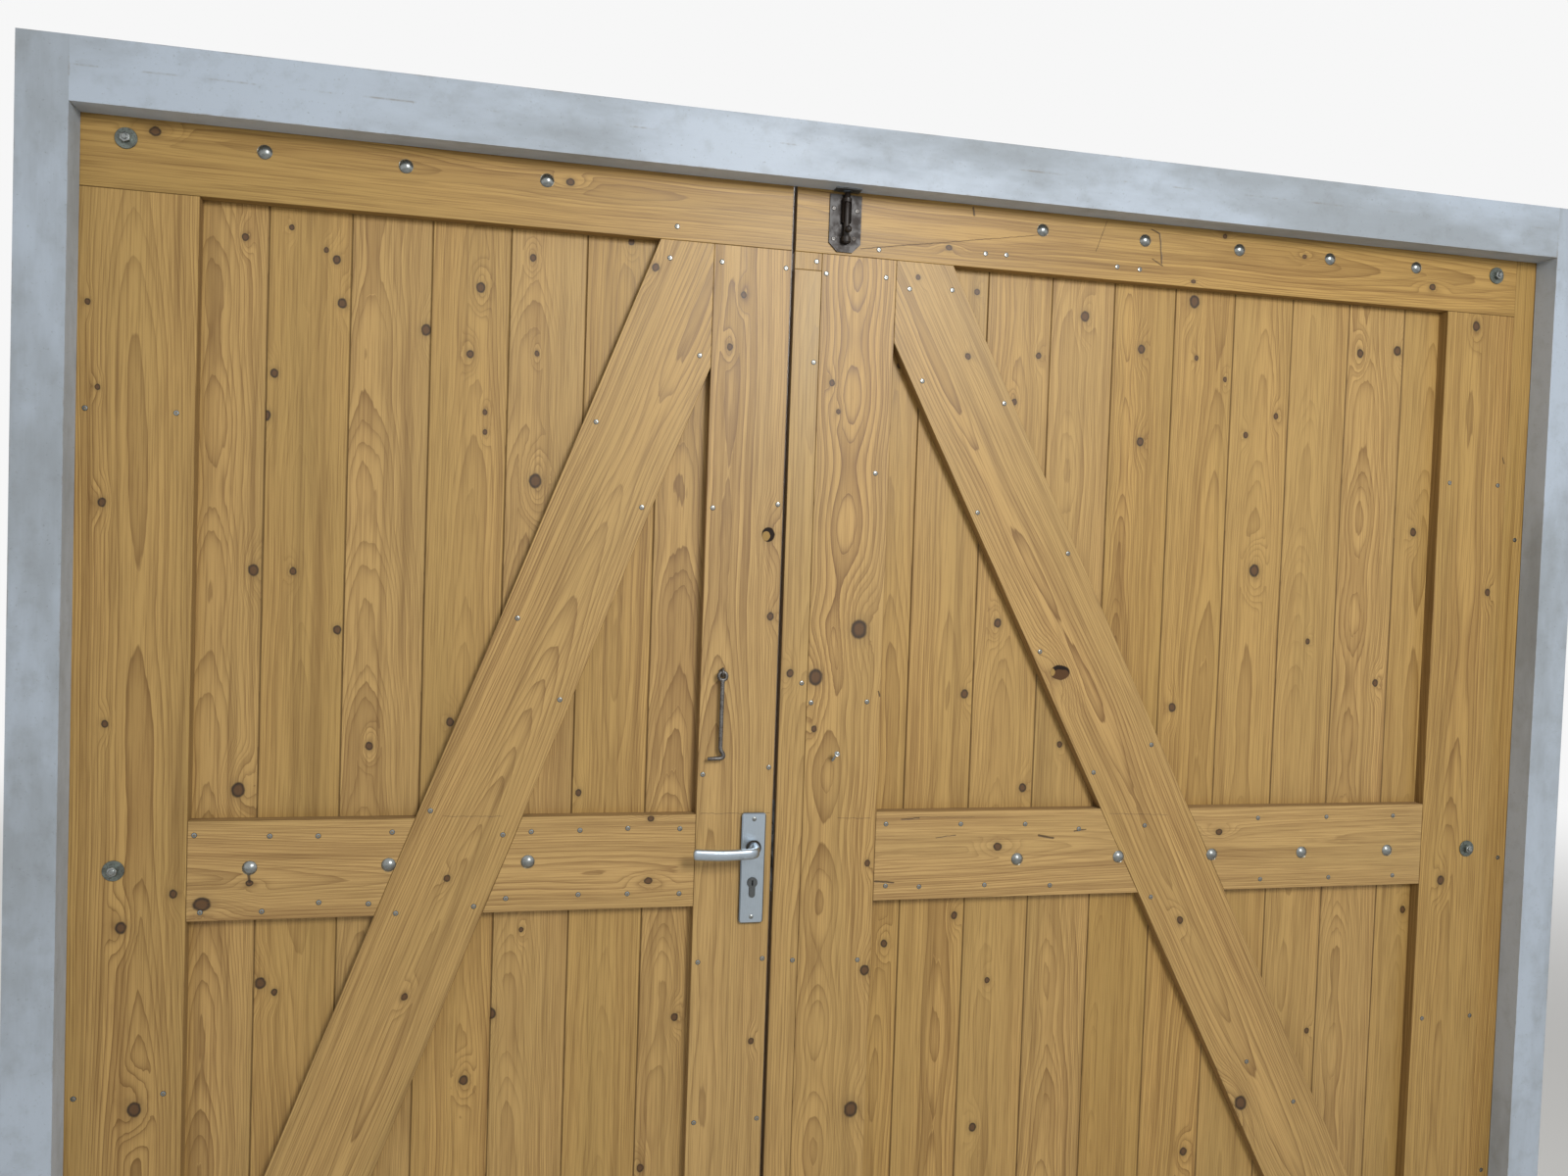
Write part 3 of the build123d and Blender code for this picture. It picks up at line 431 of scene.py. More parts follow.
def line(tree, value, slope, start, clamp=False):
    """A value times a slope, added to a start."""
    return calc(tree, "MULTIPLY_ADD", value, slope, start, clamp)


def around(tree, value, reach, middle):
    """A value from 0 to 1 as a swing to both sides of a middle."""
    return line(tree, minus(tree, value, 0.5), reach, middle)


def vector(tree, operation, first, second=None, scale=None):
    """A Vector Math node's result."""
    values = {0: first}
    if second is not None:
        values[1] = second
    if scale is not None:
        values["Scale"] = scale
    outputs = put(tree, "ShaderNodeVectorMath", values, operation=operation).outputs
    return outputs["Value" if operation in ("LENGTH", "DOT_PRODUCT") else "Vector"]


def split(tree, value):
    """The three parts of a vector."""
    return put(tree, "ShaderNodeSeparateXYZ", {0: value}).outputs


def fade(tree, value, start, end, low=0.0, high=1.0):
    """A smooth step from low to high, as a value goes from start to end."""
    values = {0: value, 1: start, 2: end, 3: low, 4: high}
    return put(tree, "ShaderNodeMapRange", values, interpolation_type="SMOOTHSTEP").outputs[0]


def noise(tree, place, scale, detail=2.0, roughness=0.5, output="Fac"):
    """A noise texture's value, or its colour as the output."""
    values = {"Vector": place, "Scale": scale, "Detail": detail, "Roughness": roughness}
    return put(tree, "ShaderNodeTexNoise", values).outputs[output]


def blend(tree, factor, first, second):
    """A mix of two colours."""
    values = {0: factor, 6: first, 7: second}
    return put(tree, "ShaderNodeMix", values, data_type="RGBA").outputs[2]


def layered(tree, shade, *layers):
    """A colour with others over it, each given as a mask, its share and the colour."""
    for mask, share, tone in layers:
        shade = blend(tree, times(tree, mask, share), shade, tone)
    return shade


def start_group(name, inputs, outputs):
    """An empty shader group. Each input has a number as its default, or the name of its kind."""
    tree = bpy.data.node_groups.new(name, "ShaderNodeTree")
    for label, given in inputs.items():
        kind = given if isinstance(given, str) else "Float"
        socket = tree.interface.new_socket(name=label, in_out="INPUT",
                                           socket_type="NodeSocket" + kind)
        if kind == "Float":
            socket.default_value = given
    for label in outputs:
        kind = "Color" if label == "Colour" else "Float"
        tree.interface.new_socket(name=label, in_out="OUTPUT", socket_type="NodeSocket" + kind)
    return (tree, tree.nodes.new("NodeGroupInput").outputs,
            tree.nodes.new("NodeGroupOutput").inputs)


def use_group(tree, name, values):
    """Places a group, which is built the first time, and returns its outputs."""
    if name not in bpy.data.node_groups:
        GROUPS[name](name)
    group = bpy.data.node_groups[name]
    return put(tree, "ShaderNodeGroup", values, node_tree=group).outputs


def build_growth_rings(name):
    """Growth rings of a log round a wandering heart, cut by the piece's faces."""
    tree, given, result = start_group(name, {
        "Place": "Vector", "Ring Width": 0.0034, "Heart Distance": 0.04, "Heart Side": 0.0,
        "Slant": 0.01, "Seed": 1.0, "Shift": 0.0, "Swelling": 0.0008, "Swelling Length": 0.3,
        "Strength": 1.0}, ("Late Wood", "Fibre", "Streak", "Tone", "Band"))
    seed = vector(tree, "SCALE", (7.3, 3.1, 11.7), scale=given["Seed"])

    def stretched(across, along):
        """The place at other scales across and along the grain, moved by the seed."""
        scaled = vector(tree, "MULTIPLY", given["Place"], (across, across, along))
        return vector(tree, "ADD", scaled, seed)

    def swung(across, along, detail, reach):
        """A noise that swings to both sides of 0."""
        value = noise(tree, stretched(across, along), 1.0, detail)
        return times(tree, minus(tree, value, 0.5), reach)

    x, y, z = split(tree, given["Place"])
    drift = split(tree, noise(tree, stretched(0.5, 1.1), 1.0, 1.0, output="Color"))
    side = around(tree, drift[0], HEART_WANDER[0], given["Heart Side"])
    deep = line(tree, z, given["Slant"], given["Heart Distance"])
    deep = around(tree, drift[1], HEART_WANDER[1], deep)
    turn = calc(tree, "DIVIDE", times(tree, z, 2 * math.pi), given["Swelling Length"])
    deep = line(tree, calc(tree, "SINE", turn), given["Swelling"], deep)
    across, depth = minus(tree, x, side), minus(tree, y, deep)
    reach = calc(tree, "SQRT", plus(tree, times(tree, across, across), times(tree, depth, depth)))
    wave, ragged = swung(13, 1.4, 2.0, RING_WAVE), swung(130, 20, 1.0, RING_RAGGEDNESS)
    reach = plus(tree, plus(tree, reach, wave), plus(tree, ragged, given["Shift"]))
    uneven = put(tree, "ShaderNodeTexNoise", {"W": times(tree, reach, 90.0), "Scale": 1.0,
                                              "Detail": 1.0}, noise_dimensions="1D")
    phase = line(tree, uneven.outputs["Fac"], 2.2,
                 calc(tree, "DIVIDE", reach, given["Ring Width"]))

    # Each ring darkens towards its outer edge and breaks off there, and some years are darker.
    ring = calc(tree, "FRACT", phase)
    late = times(tree, calc(tree, "POWER", ring, 3.6), fade(tree, ring, 1.0, 0.95))
    year = plus(tree, calc(tree, "FLOOR", phase), times(tree, given["Seed"], 13.7))
    dark_year = put(tree, "ShaderNodeTexWhiteNoise", {"W": year}, noise_dimensions="1D")
    strength = fade(tree, noise(tree, stretched(7, 0.9), 1.0), 0.32, 0.68, 0.3, 1.0)
    late = times(tree, late, times(tree, strength, given["Strength"]))
    fill(tree, result["Late Wood"], late)
    fill(tree, result["Band"], fade(tree, dark_year.outputs["Value"], 0.5, 1.0))
    for label, scales in (("Fibre", (520, 9)), ("Streak", (62, 1.3)), ("Tone", (9, 1.1))):
        fill(tree, result[label], noise(tree, stretched(*scales), 1.0, 2.0, 0.6))


def build_knot(name):
    """One knot: it turns the rings aside and keeps the distance to the nearest knot."""
    tree, given, result = start_group(name, {
        "Place": "Vector", "Knot Place": "Vector", "Radius": 0.006, "Shift": 0.0,
        "Nearness": NO_KNOT}, ("Shift", "Nearness"))
    away = vector(tree, "SUBTRACT", given["Place"], given["Knot Place"])

    def radii_away(along):
        """Distance from the knot in its radii, with the length along the grain shortened."""
        distance = vector(tree, "LENGTH", vector(tree, "MULTIPLY", away, (1.0, 0.0, along)))
        return calc(tree, "DIVIDE", distance, given["Radius"])

    bulge = fade(tree, radii_away(0.38), 0.4, 3.6, 1.0, 0.0)
    bulge = times(tree, bulge, times(tree, given["Radius"], 1.5))
    fill(tree, result["Shift"], plus(tree, given["Shift"], bulge))
    nearest = calc(tree, "MINIMUM", given["Nearness"], radii_away(0.84))
    fill(tree, result["Nearness"], nearest)


def build_oval_patch(name):
    """An oval patch on a face: 1 inside it, 0 outside."""
    tree, given, result = start_group(name, {
        "Place": "Vector", "Middle": "Vector", "Half Width": 0.01, "Half Height": 0.01},
        ("Inside",))
    away = vector(tree, "SUBTRACT", given["Place"], given["Middle"])
    size = put(tree, "ShaderNodeCombineXYZ", {0: given["Half Width"], 1: 1.0,
                                              2: given["Half Height"]}).outputs[0]
    reach = vector(tree, "DIVIDE", vector(tree, "MULTIPLY", away, ON_FACE), size)
    fill(tree, result["Inside"], fade(tree, vector(tree, "LENGTH", reach), 1.06, 0.92))


def build_line_mark(name):
    """A thin mark between two points on the wood's face."""
    tree, given, result = start_group(name, {
        "Place": "Vector", "Start": "Vector", "End": "Vector", "Width": 0.001, "Mark": 0.0},
        ("Mark",))
    reach = vector(tree, "SUBTRACT", given["End"], given["Start"])
    from_start = vector(tree, "SUBTRACT", given["Place"], given["Start"])
    from_start = vector(tree, "MULTIPLY", from_start, ON_FACE)
    share = calc(tree, "DIVIDE", vector(tree, "DOT_PRODUCT", from_start, reach),
                 vector(tree, "DOT_PRODUCT", reach, reach), clamp=True)
    along = vector(tree, "SCALE", reach, scale=share)
    away = vector(tree, "LENGTH", vector(tree, "SUBTRACT", from_start, along))
    half = times(tree, given["Width"], 0.5)
    inside = fade(tree, away, times(tree, half, 1.3), times(tree, half, 0.4))
    fill(tree, result["Mark"], most(tree, given["Mark"], inside))


def build_arris(name):
    """How near a point is to an edge of a straight piece: 1 on the arris, 0 inside a face."""
    tree, given, result = start_group(name, {
        "Place": "Vector", "Half Size": "Vector", "Width": 0.002}, ("Edge",))
    inner = vector(tree, "ABSOLUTE", given["Place"])
    x, y, z = split(tree, vector(tree, "SUBTRACT", given["Half Size"], inner))
    low, high = calc(tree, "MINIMUM", x, y), most(tree, x, y)
    middle = most(tree, low, calc(tree, "MINIMUM", high, z))
    fill(tree, result["Edge"], fade(tree, middle, given["Width"], 0.0))


def build_pine_colour(name):
    """Colour, roughness and fine relief of varnished pine."""
    tree, given, result = start_group(name, {
        "Late Wood": 0.0, "Fibre": 0.5, "Streak": 0.5, "Tone": 0.5, "Band": 0.0,
        "Nearness": NO_KNOT, "Edge": 0.0, "Mark": 0.0, "Lightness": 0.0, "Roughness": 0.4,
        "Early": "Color", "Late": "Color", "Heart": "Color", "Bark": "Color", "Dirt": "Color"},
        ("Colour", "Roughness", "Height"))
    near, tone, late = given["Nearness"], given["Tone"], given["Late"]

    # Darker years, late wood, fibres and streaks over the early wood.
    dark_year = fade(tree, tone, 0.38, 0.62, 0.10, 0.34)
    shade = layered(tree, given["Early"], (given["Band"], dark_year, late))
    shade = blend(tree, given["Late Wood"], shade, late)
    fibre = fade(tree, given["Fibre"], 0.44, 0.68)
    shade = layered(tree, shade, (fibre, 0.36, late))
    shade = blend(tree, fade(tree, given["Streak"], 0.5, 0.78, 0.0, 0.42), shade, late)

    # Broad differences in tone, and the darker wood round a knot.
    value = around(tree, tone, 0.42, plus(tree, given["Lightness"], 1.0))
    value = minus(tree, value, fade(tree, near, 2.4, 1.0, 0.0, 0.15))
    shade = put(tree, "ShaderNodeHueSaturation", {
        "Hue": around(tree, tone, -0.01, 0.5), "Value": value, "Color": shade,
        "Saturation": line(tree, given["Lightness"], -0.8, 1.0)}).outputs[0]

    # The knot with its dark rim, then the dirt colour at edges and in marks; on the side and end
    # faces of the pieces it is painted shade.
    knot = blend(tree, fade(tree, near, 0.48, 0.86), given["Heart"], given["Bark"])
    knot = layered(tree, knot, (fibre, 0.35, late))
    shade = blend(tree, fade(tree, near, 1.22, 0.88, 0.0, 0.95), shade, knot)
    shade = layered(tree, shade, (given["Edge"], 0.55, given["Dirt"]),
                    (given["Mark"], 0.8, given["Dirt"]))
    fill(tree, result["Colour"], shade)
    rough = line(tree, given["Late Wood"], -0.08, given["Roughness"])
    rough = line(tree, given["Edge"], 0.2, line(tree, tone, 0.14, rough), clamp=True)
    fill(tree, result["Roughness"], rough)
    fill(tree, result["Height"], line(tree, given["Mark"], -2.0, given["Fibre"]))


def build_grime(name):
    """Soft patches and fine specks of dirt."""
    tree, given, result = start_group(name, {
        "Place": "Vector", "Patch Size": 0.2, "Speck Size": 0.01, "Amount": 0.5},
        ("Patches", "Specks"))
    patch_scale, speck_scale = (calc(tree, "DIVIDE", 1.0, given[label])
                                for label in ("Patch Size", "Speck Size"))
    patch = noise(tree, given["Place"], patch_scale, 5.0, 0.62)
    speck = noise(tree, given["Place"], speck_scale, 3.0, 0.6)
    edge = minus(tree, 0.72, times(tree, given["Amount"], 0.25))
    patches = fade(tree, patch, minus(tree, edge, 0.16), plus(tree, edge, 0.12))
    fill(tree, result["Patches"], patches)
    fill(tree, result["Specks"], fade(tree, speck, edge, plus(tree, edge, 0.08)))


GROUPS = {
    "Growth rings": build_growth_rings, "Knot": build_knot, "Oval patch": build_oval_patch,
    "Line mark": build_line_mark, "Arris": build_arris, "Pine colour": build_pine_colour,
    "Grime": build_grime,
}


def rgba(value):
    """A property's colour with full alpha."""
    return (*value, 1.0)


def metres(*values):
    """Millimetres as a vector in metres."""
    return Vector(values) / 1000


def middle_and_half(node):
    """Middle of a node's box and half its size, in metres."""
    low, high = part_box(node)
    return (low + high) / 2, (high - low) / 2


def start_material(name):
    """A material with its Principled shader, and a Texture Coordinate's object place."""
    material = bpy.data.materials.new(name)
    material.use_nodes = True
    tree = material.node_tree
    shader = next(n for n in tree.nodes if n.type == "BSDF_PRINCIPLED")
    place = tree.nodes.new("ShaderNodeTexCoord").outputs["Object"]
    return material, tree, shader, place


def finish_surface(tree, shader, shade, rough, height=None, strength=0.0, depth=0.0):
    """Links colour and roughness to a shader, and a relief of a strength and depth (m)."""
    fill(tree, shader.inputs["Base Color"], shade)
    fill(tree, shader.inputs["Roughness"], rough)
    if height is not None:
        relief = {"Height": height, "Strength": strength, "Distance": depth}
        fill(tree, shader.inputs["Normal"], put(tree, "ShaderNodeBump", relief).outputs[0])


def dress(node, material):
    """Gives a CAD node its material."""
    slots = frame["nodes"][node].data.materials
    slots.clear()
    slots.append(material)


def smooth_turned_faces(node):
    """Welds a node's triangles and shades its round faces smooth, with its sharp edges kept."""
    piece = frame["nodes"][node]
    piece.data.polygons.foreach_set("use_smooth", [True] * len(piece.data.polygons))
    weld = piece.modifiers.new("Weld", "WELD")
    weld.merge_threshold = JOIN_DISTANCE
    edge_split = piece.modifiers.new("Sharp edges", "EDGE_SPLIT")
    edge_split.split_angle = math.radians(SHARP_ANGLE)


def nodes_of(slot):
    """The CAD nodes that have a material slot."""
    return [part["node"] for part in frame["record"]["subparts"] if part["material_slot"] == slot]


def grain_frame(node):
    """Turn and middle of a piece, so that its grain runs along local Z, and its half size."""
    middle, half = middle_and_half(node)
    lean = 0.0
    if node in BRACES:
        # A brace's slanted ends get no saw cut, so its half length lies far beyond them.
        x, z, lean = BRACES[node]
        middle = Vector((x / 1000, middle.y, z / 1000))
        half = Vector((BRACE_HALF_WIDTH / 1000, half.y, 5.0))
    elif "rail" in node:
        lean, half = 90.0, Vector((half.z, half.y, half.x))
    return Euler((0.0, -math.radians(lean), 0.0)), middle, half


def grain_of(node, settings):
    """A piece's lightness and its values for the growth rings, in metres."""
    if node in GRAIN:
        width, distance, side, slant, seed, light, *swelling = GRAIN[node]
        lengths = (width, distance, side, *(swelling or USUAL_SWELLING))
        width, distance, side, swelling, spacing = (value / 1000 for value in lengths)
    else:
        # The letters of any other piece's name choose its log.
        number = sum(ord(letter) * (i + 3) for i, letter in enumerate(node)) % 97
        first, second, third, fourth = ((number * step % 10) / 10 for step in (3, 7, 13, 17))
        width = settings.ring_width * (0.8 + 0.5 * first)
        distance, side, slant = 0.022 + 0.045 * second, 0.07 * (third - 0.5), 0.008 + 0.016 * fourth
        seed, light = number * 0.37, 0.07 * (second - 0.5)
        swelling, spacing = 0.0012, 0.18 + 0.2 * first
    return light, {"Ring Width": width, "Heart Distance": distance, "Heart Side": side,
                   "Slant": slant, "Seed": seed, "Swelling": swelling, "Swelling Length": spacing}


def knots_and_lines(tree, node, place, in_grain):
    """How the node's knots shift its rings, how near they are, and a mask of its line marks."""
    shift, near, mark = 0.0, NO_KNOT, 0.0
    for x, z, radius in KNOTS.get(node, ()):
        shift, near = use_group(tree, "Knot", {
            "Place": place, "Knot Place": in_grain(x, z), "Radius": radius * KNOT_RIM / 1000,
            "Shift": shift, "Nearness": near})
    for x0, z0, x1, z1, width in LINES.get(node, ()):
        start, end = in_grain(x0, z0), in_grain(x1, z1)
        start.y = end.y = 0
        mark = use_group(tree, "Line mark", {"Place": place, "Start": start, "End": end,
                                             "Width": width / 1000, "Mark": mark})[0]
    return shift, near, mark


def dirt_and_shade_at_edges(tree, node, local, half):
    """Masks of a piece's darker edges and of its rough saw cuts: dirty joints, darker arrises, and
    painted shade on its side and end faces.
    """
    def cut_face(part, half_size):
        """The skin of a saw-cut face."""
        return fade(tree, part, half_size - SAW_CUT[0], half_size - SAW_CUT[1])

    x, _, z = split(tree, vector(tree, "ABSOLUTE", local))
    end = cut_face(z, half.z)
    if "cut_boards" in node or "strips" in node:
        return 0.0, end
    if "_board_" in node:
        # The tongue makes a board's box wider on one side than the cover that is seen.
        across = plus(tree, split(tree, local)[0], half.x - HALF_COVER)
        edge = fade(tree, calc(tree, "ABSOLUTE", across), HALF_COVER - JOINT_DIRT[0],
                    HALF_COVER - JOINT_DIRT[1])
        # A board's dirty joints, and painted shade at half strength on its end faces.
        return most(tree, edge, times(tree, end, 0.5)), end
    side = cut_face(x, half.x)
    edge = use_group(tree, "Arris", {"Place": local, "Half Size": half, "Width": 0.001})[0]
    # Side and end faces get the dirt colour as painted shade, so that the gaps between the pieces
    # look dark.
    for face, share in ((side, 0.62), (end, 0.8)):
        edge = most(tree, edge, times(tree, face, share))
    return edge, most(tree, side, end)


def oval_patch(tree, place, x, z, half_width, half_height):
    """The inside of an oval patch; its place and size are in mm."""
    return use_group(tree, "Oval patch", {
        "Place": place, "Middle": metres(x, 0, z), "Half Width": half_width / 1000,
        "Half Height": half_height / 1000})[0]


def shaded_knot_hole(tree, node, place, shade, rough, settings):
    """Colour and roughness with the hole that a knot fell out of, painted dark as its shade, and
    the patches in it.
    """
    hole, patches_in_hole = SHADED_KNOT_HOLES[node]
    inside = oval_patch(tree, place, *hole)
    # The hole has no depth in the shape: its dark colour is painted shade.
    shade = blend(tree, inside, shade, rgba(Vector(settings.bark) * 0.8))
    # Pale patches are painted light on the hole's lit inner wall.
    for *oval, name, share in patches_in_hole:
        tone = rgba(Vector(getattr(settings, name)) * share)
        shade = layered(tree, shade, (oval_patch(tree, place, *oval), inside, tone))
    return shade, line(tree, inside, 0.5, rough, clamp=True)


def pine_material(node, settings):
    """Varnished pine for one piece, with its own grain, knots and marks."""
    material, tree, shader, place = start_material("Varnished pine " + node.replace("_", " "))
    turn, middle, half = grain_frame(node)
    matrix = turn.to_matrix()
    local = put(tree, "ShaderNodeMapping", {"Vector": place, "Rotation": turn,
                                            "Location": -(matrix @ middle)}).outputs[0]
    wobble = noise(tree, local, FRAYED_OUTLINE[0], output="Color")
    wobble = vector(tree, "SUBTRACT", wobble, (0.5, 0.5, 0.5))
    wobble = vector(tree, "SCALE", wobble, scale=FRAYED_OUTLINE[1])
    frayed = vector(tree, "ADD", local, wobble)

    def in_grain(x, z):
        """A place on the door, in mm, as a place along the piece's grain."""
        return matrix @ (metres(x, 0, z) - middle)

    shift, near, mark = knots_and_lines(tree, node, frayed, in_grain)
    light, growth = grain_of(node, settings)
    flat_sawn = "_board" in node or "rail" in node
    rings = use_group(tree, "Growth rings", {
        "Place": local, "Shift": shift, "Strength": 0.7 if flat_sawn else 0.95, **growth})
    edge, sawn = dirt_and_shade_at_edges(tree, node, local, half)
    wood = use_group(tree, "Pine colour", {
        **{label: rings[label] for label in ("Late Wood", "Fibre", "Streak", "Tone", "Band")},
        "Nearness": near, "Edge": edge, "Mark": mark, "Lightness": light,
        "Roughness": settings.roughness, "Early": rgba(settings.pale),
        "Late": rgba(settings.late), "Heart": rgba(settings.heart), "Bark": rgba(settings.bark),
        "Dirt": rgba(settings.dirt)})
    shade, rough = wood["Colour"], line(tree, sawn, 0.4, wood["Roughness"], clamp=True)
    if node in SHADED_KNOT_HOLES:
        torn = vector(tree, "ADD", place, vector(tree, "SUBTRACT", frayed, local))
        shade, rough = shaded_knot_hole(tree, node, torn, shade, rough, settings)
    finish_surface(tree, shader, shade, rough, wood["Height"], 0.35, 0.0006)
    for label, value in VARNISH.items():
        shader.inputs[label].default_value = value
    return material


def dirt_masks(tree, place, patch_size, speck_size, amount):
    """Masks of dirt, with the sizes of its patches and specks in metres."""
    return use_group(tree, "Grime", {"Place": place, "Patch Size": patch_size,
                                     "Speck Size": speck_size, "Amount": amount})


def paint_material(node, settings):
    """Old white paint, blotchy and rubbed at its arrises."""
    material, tree, shader, place = start_material("Old white paint " + node.replace("_", " "))
    middle, half = middle_and_half(node)
    local = put(tree, "ShaderNodeMapping", {"Vector": place, "Location": -middle}).outputs[0]

    def scaled(across, along):
        """The place at other scales across and along the post or the head."""
        upright = "post" in node
        scales = (across, across, along) if upright else (along, across, across)
        return vector(tree, "MULTIPLY", place, scales)

    broad = dirt_masks(tree, scaled(1.0, 0.35), 0.16, 0.012, 0.75)
    fine = dirt_masks(tree, place, 0.035, 0.004, 0.35)
    edge = use_group(tree, "Arris", {"Place": local, "Half Size": half,
                                     "Width": settings.rub * 2})[0]
    rub = times(tree, edge, fade(tree, noise(tree, place, 11.0, 5.0, 0.75), 0.5, 0.66))
    dirt, bare = rgba(settings.grime), rgba(settings.bare)
    shade = layered(tree, rgba(settings.paint), (broad["Patches"], 0.5, dirt),
                    (fine["Patches"], 0.22, dirt), (fine["Specks"], 0.35, dirt), (rub, 0.6, bare))
    rough = line(tree, broad["Patches"], 0.22, 0.48)
    brush = noise(tree, scaled(240.0, 12.0), 1.0)
    height = minus(tree, brush, times(tree, rub, 1.4))
    finish_surface(tree, shader, shade, rough, height, 0.3, 0.0005)
    return material


def metal_material(name, tone, roughness, share=1.0, brushed=(1.0, 1.0, 1.0), grime=0.35,
                   dirt=(70, 62, 52), metallic=1.0):
    """Worn metal with fine brushing, dull patches and specks of dirt."""
    material, tree, shader, place = start_material(name)
    dirt = rgba(srgb(*dirt))
    marks = dirt_masks(tree, place, 0.02, 0.0022, grime)
    lines = noise(tree, vector(tree, "MULTIPLY", place, brushed), 900.0, 2.0, 0.6)
    shade = layered(tree, rgba(Vector(tone) * share), (marks["Patches"], 0.45, dirt),
                    (marks["Specks"], 0.6, dirt))
    shade = blend(tree, fade(tree, lines, 0.35, 0.7, 0.0, 0.16), shade, dirt)
    rough = line(tree, marks["Patches"], 0.22, roughness)
    rough = line(tree, lines, 0.1, rough, clamp=True)
    shader.inputs["Metallic"].default_value = metallic
    finish_surface(tree, shader, shade, rough, lines, 0.12, 0.0002)
    return material


def plate_material(name, tone):
    """Satin aluminium, smoother on the cover plates' bevels, with painted shade on the bevels and a
    painted shadow line round the plates' rim.
    """
    material, tree, shader, place = start_material(name)
    middle, half = middle_and_half("lever_plates")
    local = vector(tree, "ABSOLUTE", vector(tree, "SUBTRACT", place, middle))
    inward = split(tree, vector(tree, "SUBTRACT", half, local))
    reach = calc(tree, "MINIMUM", inward[0], inward[2])
    bevel, outline_shadow = fade(tree, reach, 0.0023, 0.0018), fade(tree, reach, 0.0004, 0.0)
    marks = dirt_masks(tree, place, 0.03, 0.0016, 0.2)
    scratched = vector(tree, "MULTIPLY", place, (1.0, 1.0, 0.06))
    brushed = noise(tree, scratched, 1400.0, 2.0, 0.6)
    dull, dark = (rgba(Vector(tone) * share) for share in (0.6, 0.55))
    shade = layered(tree, rgba(tone), (marks["Patches"], 0.35, dull))
    shade = blend(tree, fade(tree, brushed, 0.35, 0.7, 0.0, 0.2), shade, dull)
    # The bevels are darkened as painted shade, and a brown-grey line round the plates' rim is
    # painted shadow.
    shade = layered(tree, shade, (bevel, 0.7, dark), (outline_shadow, 0.85, rgba(srgb(60, 54, 46))))
    rough = line(tree, bevel, -0.14, line(tree, brushed, 0.12, 0.3))
    shader.inputs["Metallic"].default_value = 1.0
    finish_surface(tree, shader, shade, rough)
    return material


def metal(slot):
    """A metal finish, made the first time that a piece needs it."""
    name, tones = "door " + slot, bpy.context.scene.door_metal
    if name in bpy.data.materials:
        return bpy.data.materials[name]
    if slot == "cover_plate":
        return plate_material(name, tones.aluminium)
    tone, roughness, other = METALS[slot]
    return metal_material(name, getattr(tones, tone), roughness, **other)


def turned(bm, profile, centre, axis, steps=24, closed=False):
    """Spins a profile of (radius, rise) points, in mm, round an axis through the centre."""
    rise = Vector(axis).normalized()
    out = rise.orthogonal().normalized()
    centre = Vector(centre)
    before = set(bm.verts)
    verts = [bm.verts.new((centre + out * radius + rise * step) / 1000)
             for radius, step in profile]
    edges = [bm.edges.new(pair) for pair in zip(verts, verts[1:])]
    if closed:
        edges.append(bm.edges.new((verts[-1], verts[0])))
    bmesh.ops.spin(bm, geom=verts + edges, cent=centre / 1000, axis=rise, angle=2 * math.pi,
                   steps=steps, use_merge=True, use_duplicate=False)
    fresh = [v for v in bm.verts if v not in before]
    bmesh.ops.remove_doubles(bm, verts=fresh, dist=JOIN_DISTANCE)


def turned_ring(bm, centre, axis, radius, thick):
    """A ring of round wire; radius and half thickness are in mm."""
    profile = [(radius + thick * math.cos(i * math.pi / 6), thick * math.sin(i * math.pi / 6))
               for i in range(12)]
    turned(bm, profile, centre, axis, steps=32, closed=True)


def rounded_path(points, radius, steps=6):
    """A run of points in mm with its corners rounded."""
    points = [Vector(p) for p in points]
    path = [points[0]]
    for before, corner, after in zip(points, points[1:], points[2:]):
        reaches = [other - corner for other in (before, after)]
        start, end = (corner + reach.normalized() * min(radius, reach.length * 0.45)
                      for reach in reaches)
        for i in range(steps + 1):
            t = i / steps
            path.append((1 - t) ** 2 * start + 2 * t * (1 - t) * corner + t ** 2 * end)
    return path + [points[-1]]


def circle(bm, sides, place=Matrix()):
    """A fresh circle's vertices and its edges."""
    verts = bmesh.ops.create_circle(bm, cap_ends=False, segments=sides, radius=1.0,
                                    matrix=place)["verts"]
    return verts, list(dict.fromkeys(edge for vert in verts for edge in vert.link_edges))


def swept(bm, path, sizes, upright, sides=14, square=1.0):
    """A bar along a path; sizes gives (half width, half height) at each point, in mm.

    A square value below 1 turns the oval section towards a rounded oblong.
    """
    loops = []
    for i, (point, size) in enumerate(zip(path, sizes)):
        ahead = (path[min(i + 1, len(path) - 1)] - path[max(i - 1, 0)]).normalized()
        side = ahead.cross(Vector(upright)).normalized()
        up = side.cross(ahead).normalized()
        turn = Matrix((side, up, ahead)).transposed().to_4x4()
        half_width, half_height = metres(*size)
        place = Matrix.Translation(point / 1000) @ turn
        place = place @ Matrix.Diagonal((half_width, half_height, 1, 1))
        ring, edges = circle(bm, sides, place)
        if square < 1:
            undo = place.inverted()
            for v in ring:
                flat = undo @ v.co
                flat.x = math.copysign(abs(flat.x) ** square, flat.x)
                flat.y = math.copysign(abs(flat.y) ** square, flat.y)
                v.co = place @ flat
        loops.append(edges)
    for first, second in zip(loops, loops[1:]):
        bmesh.ops.bridge_loops(bm, edges=first + second)
    for loop in (loops[0], loops[-1]):
        bmesh.ops.holes_fill(bm, edges=loop, sides=sides)


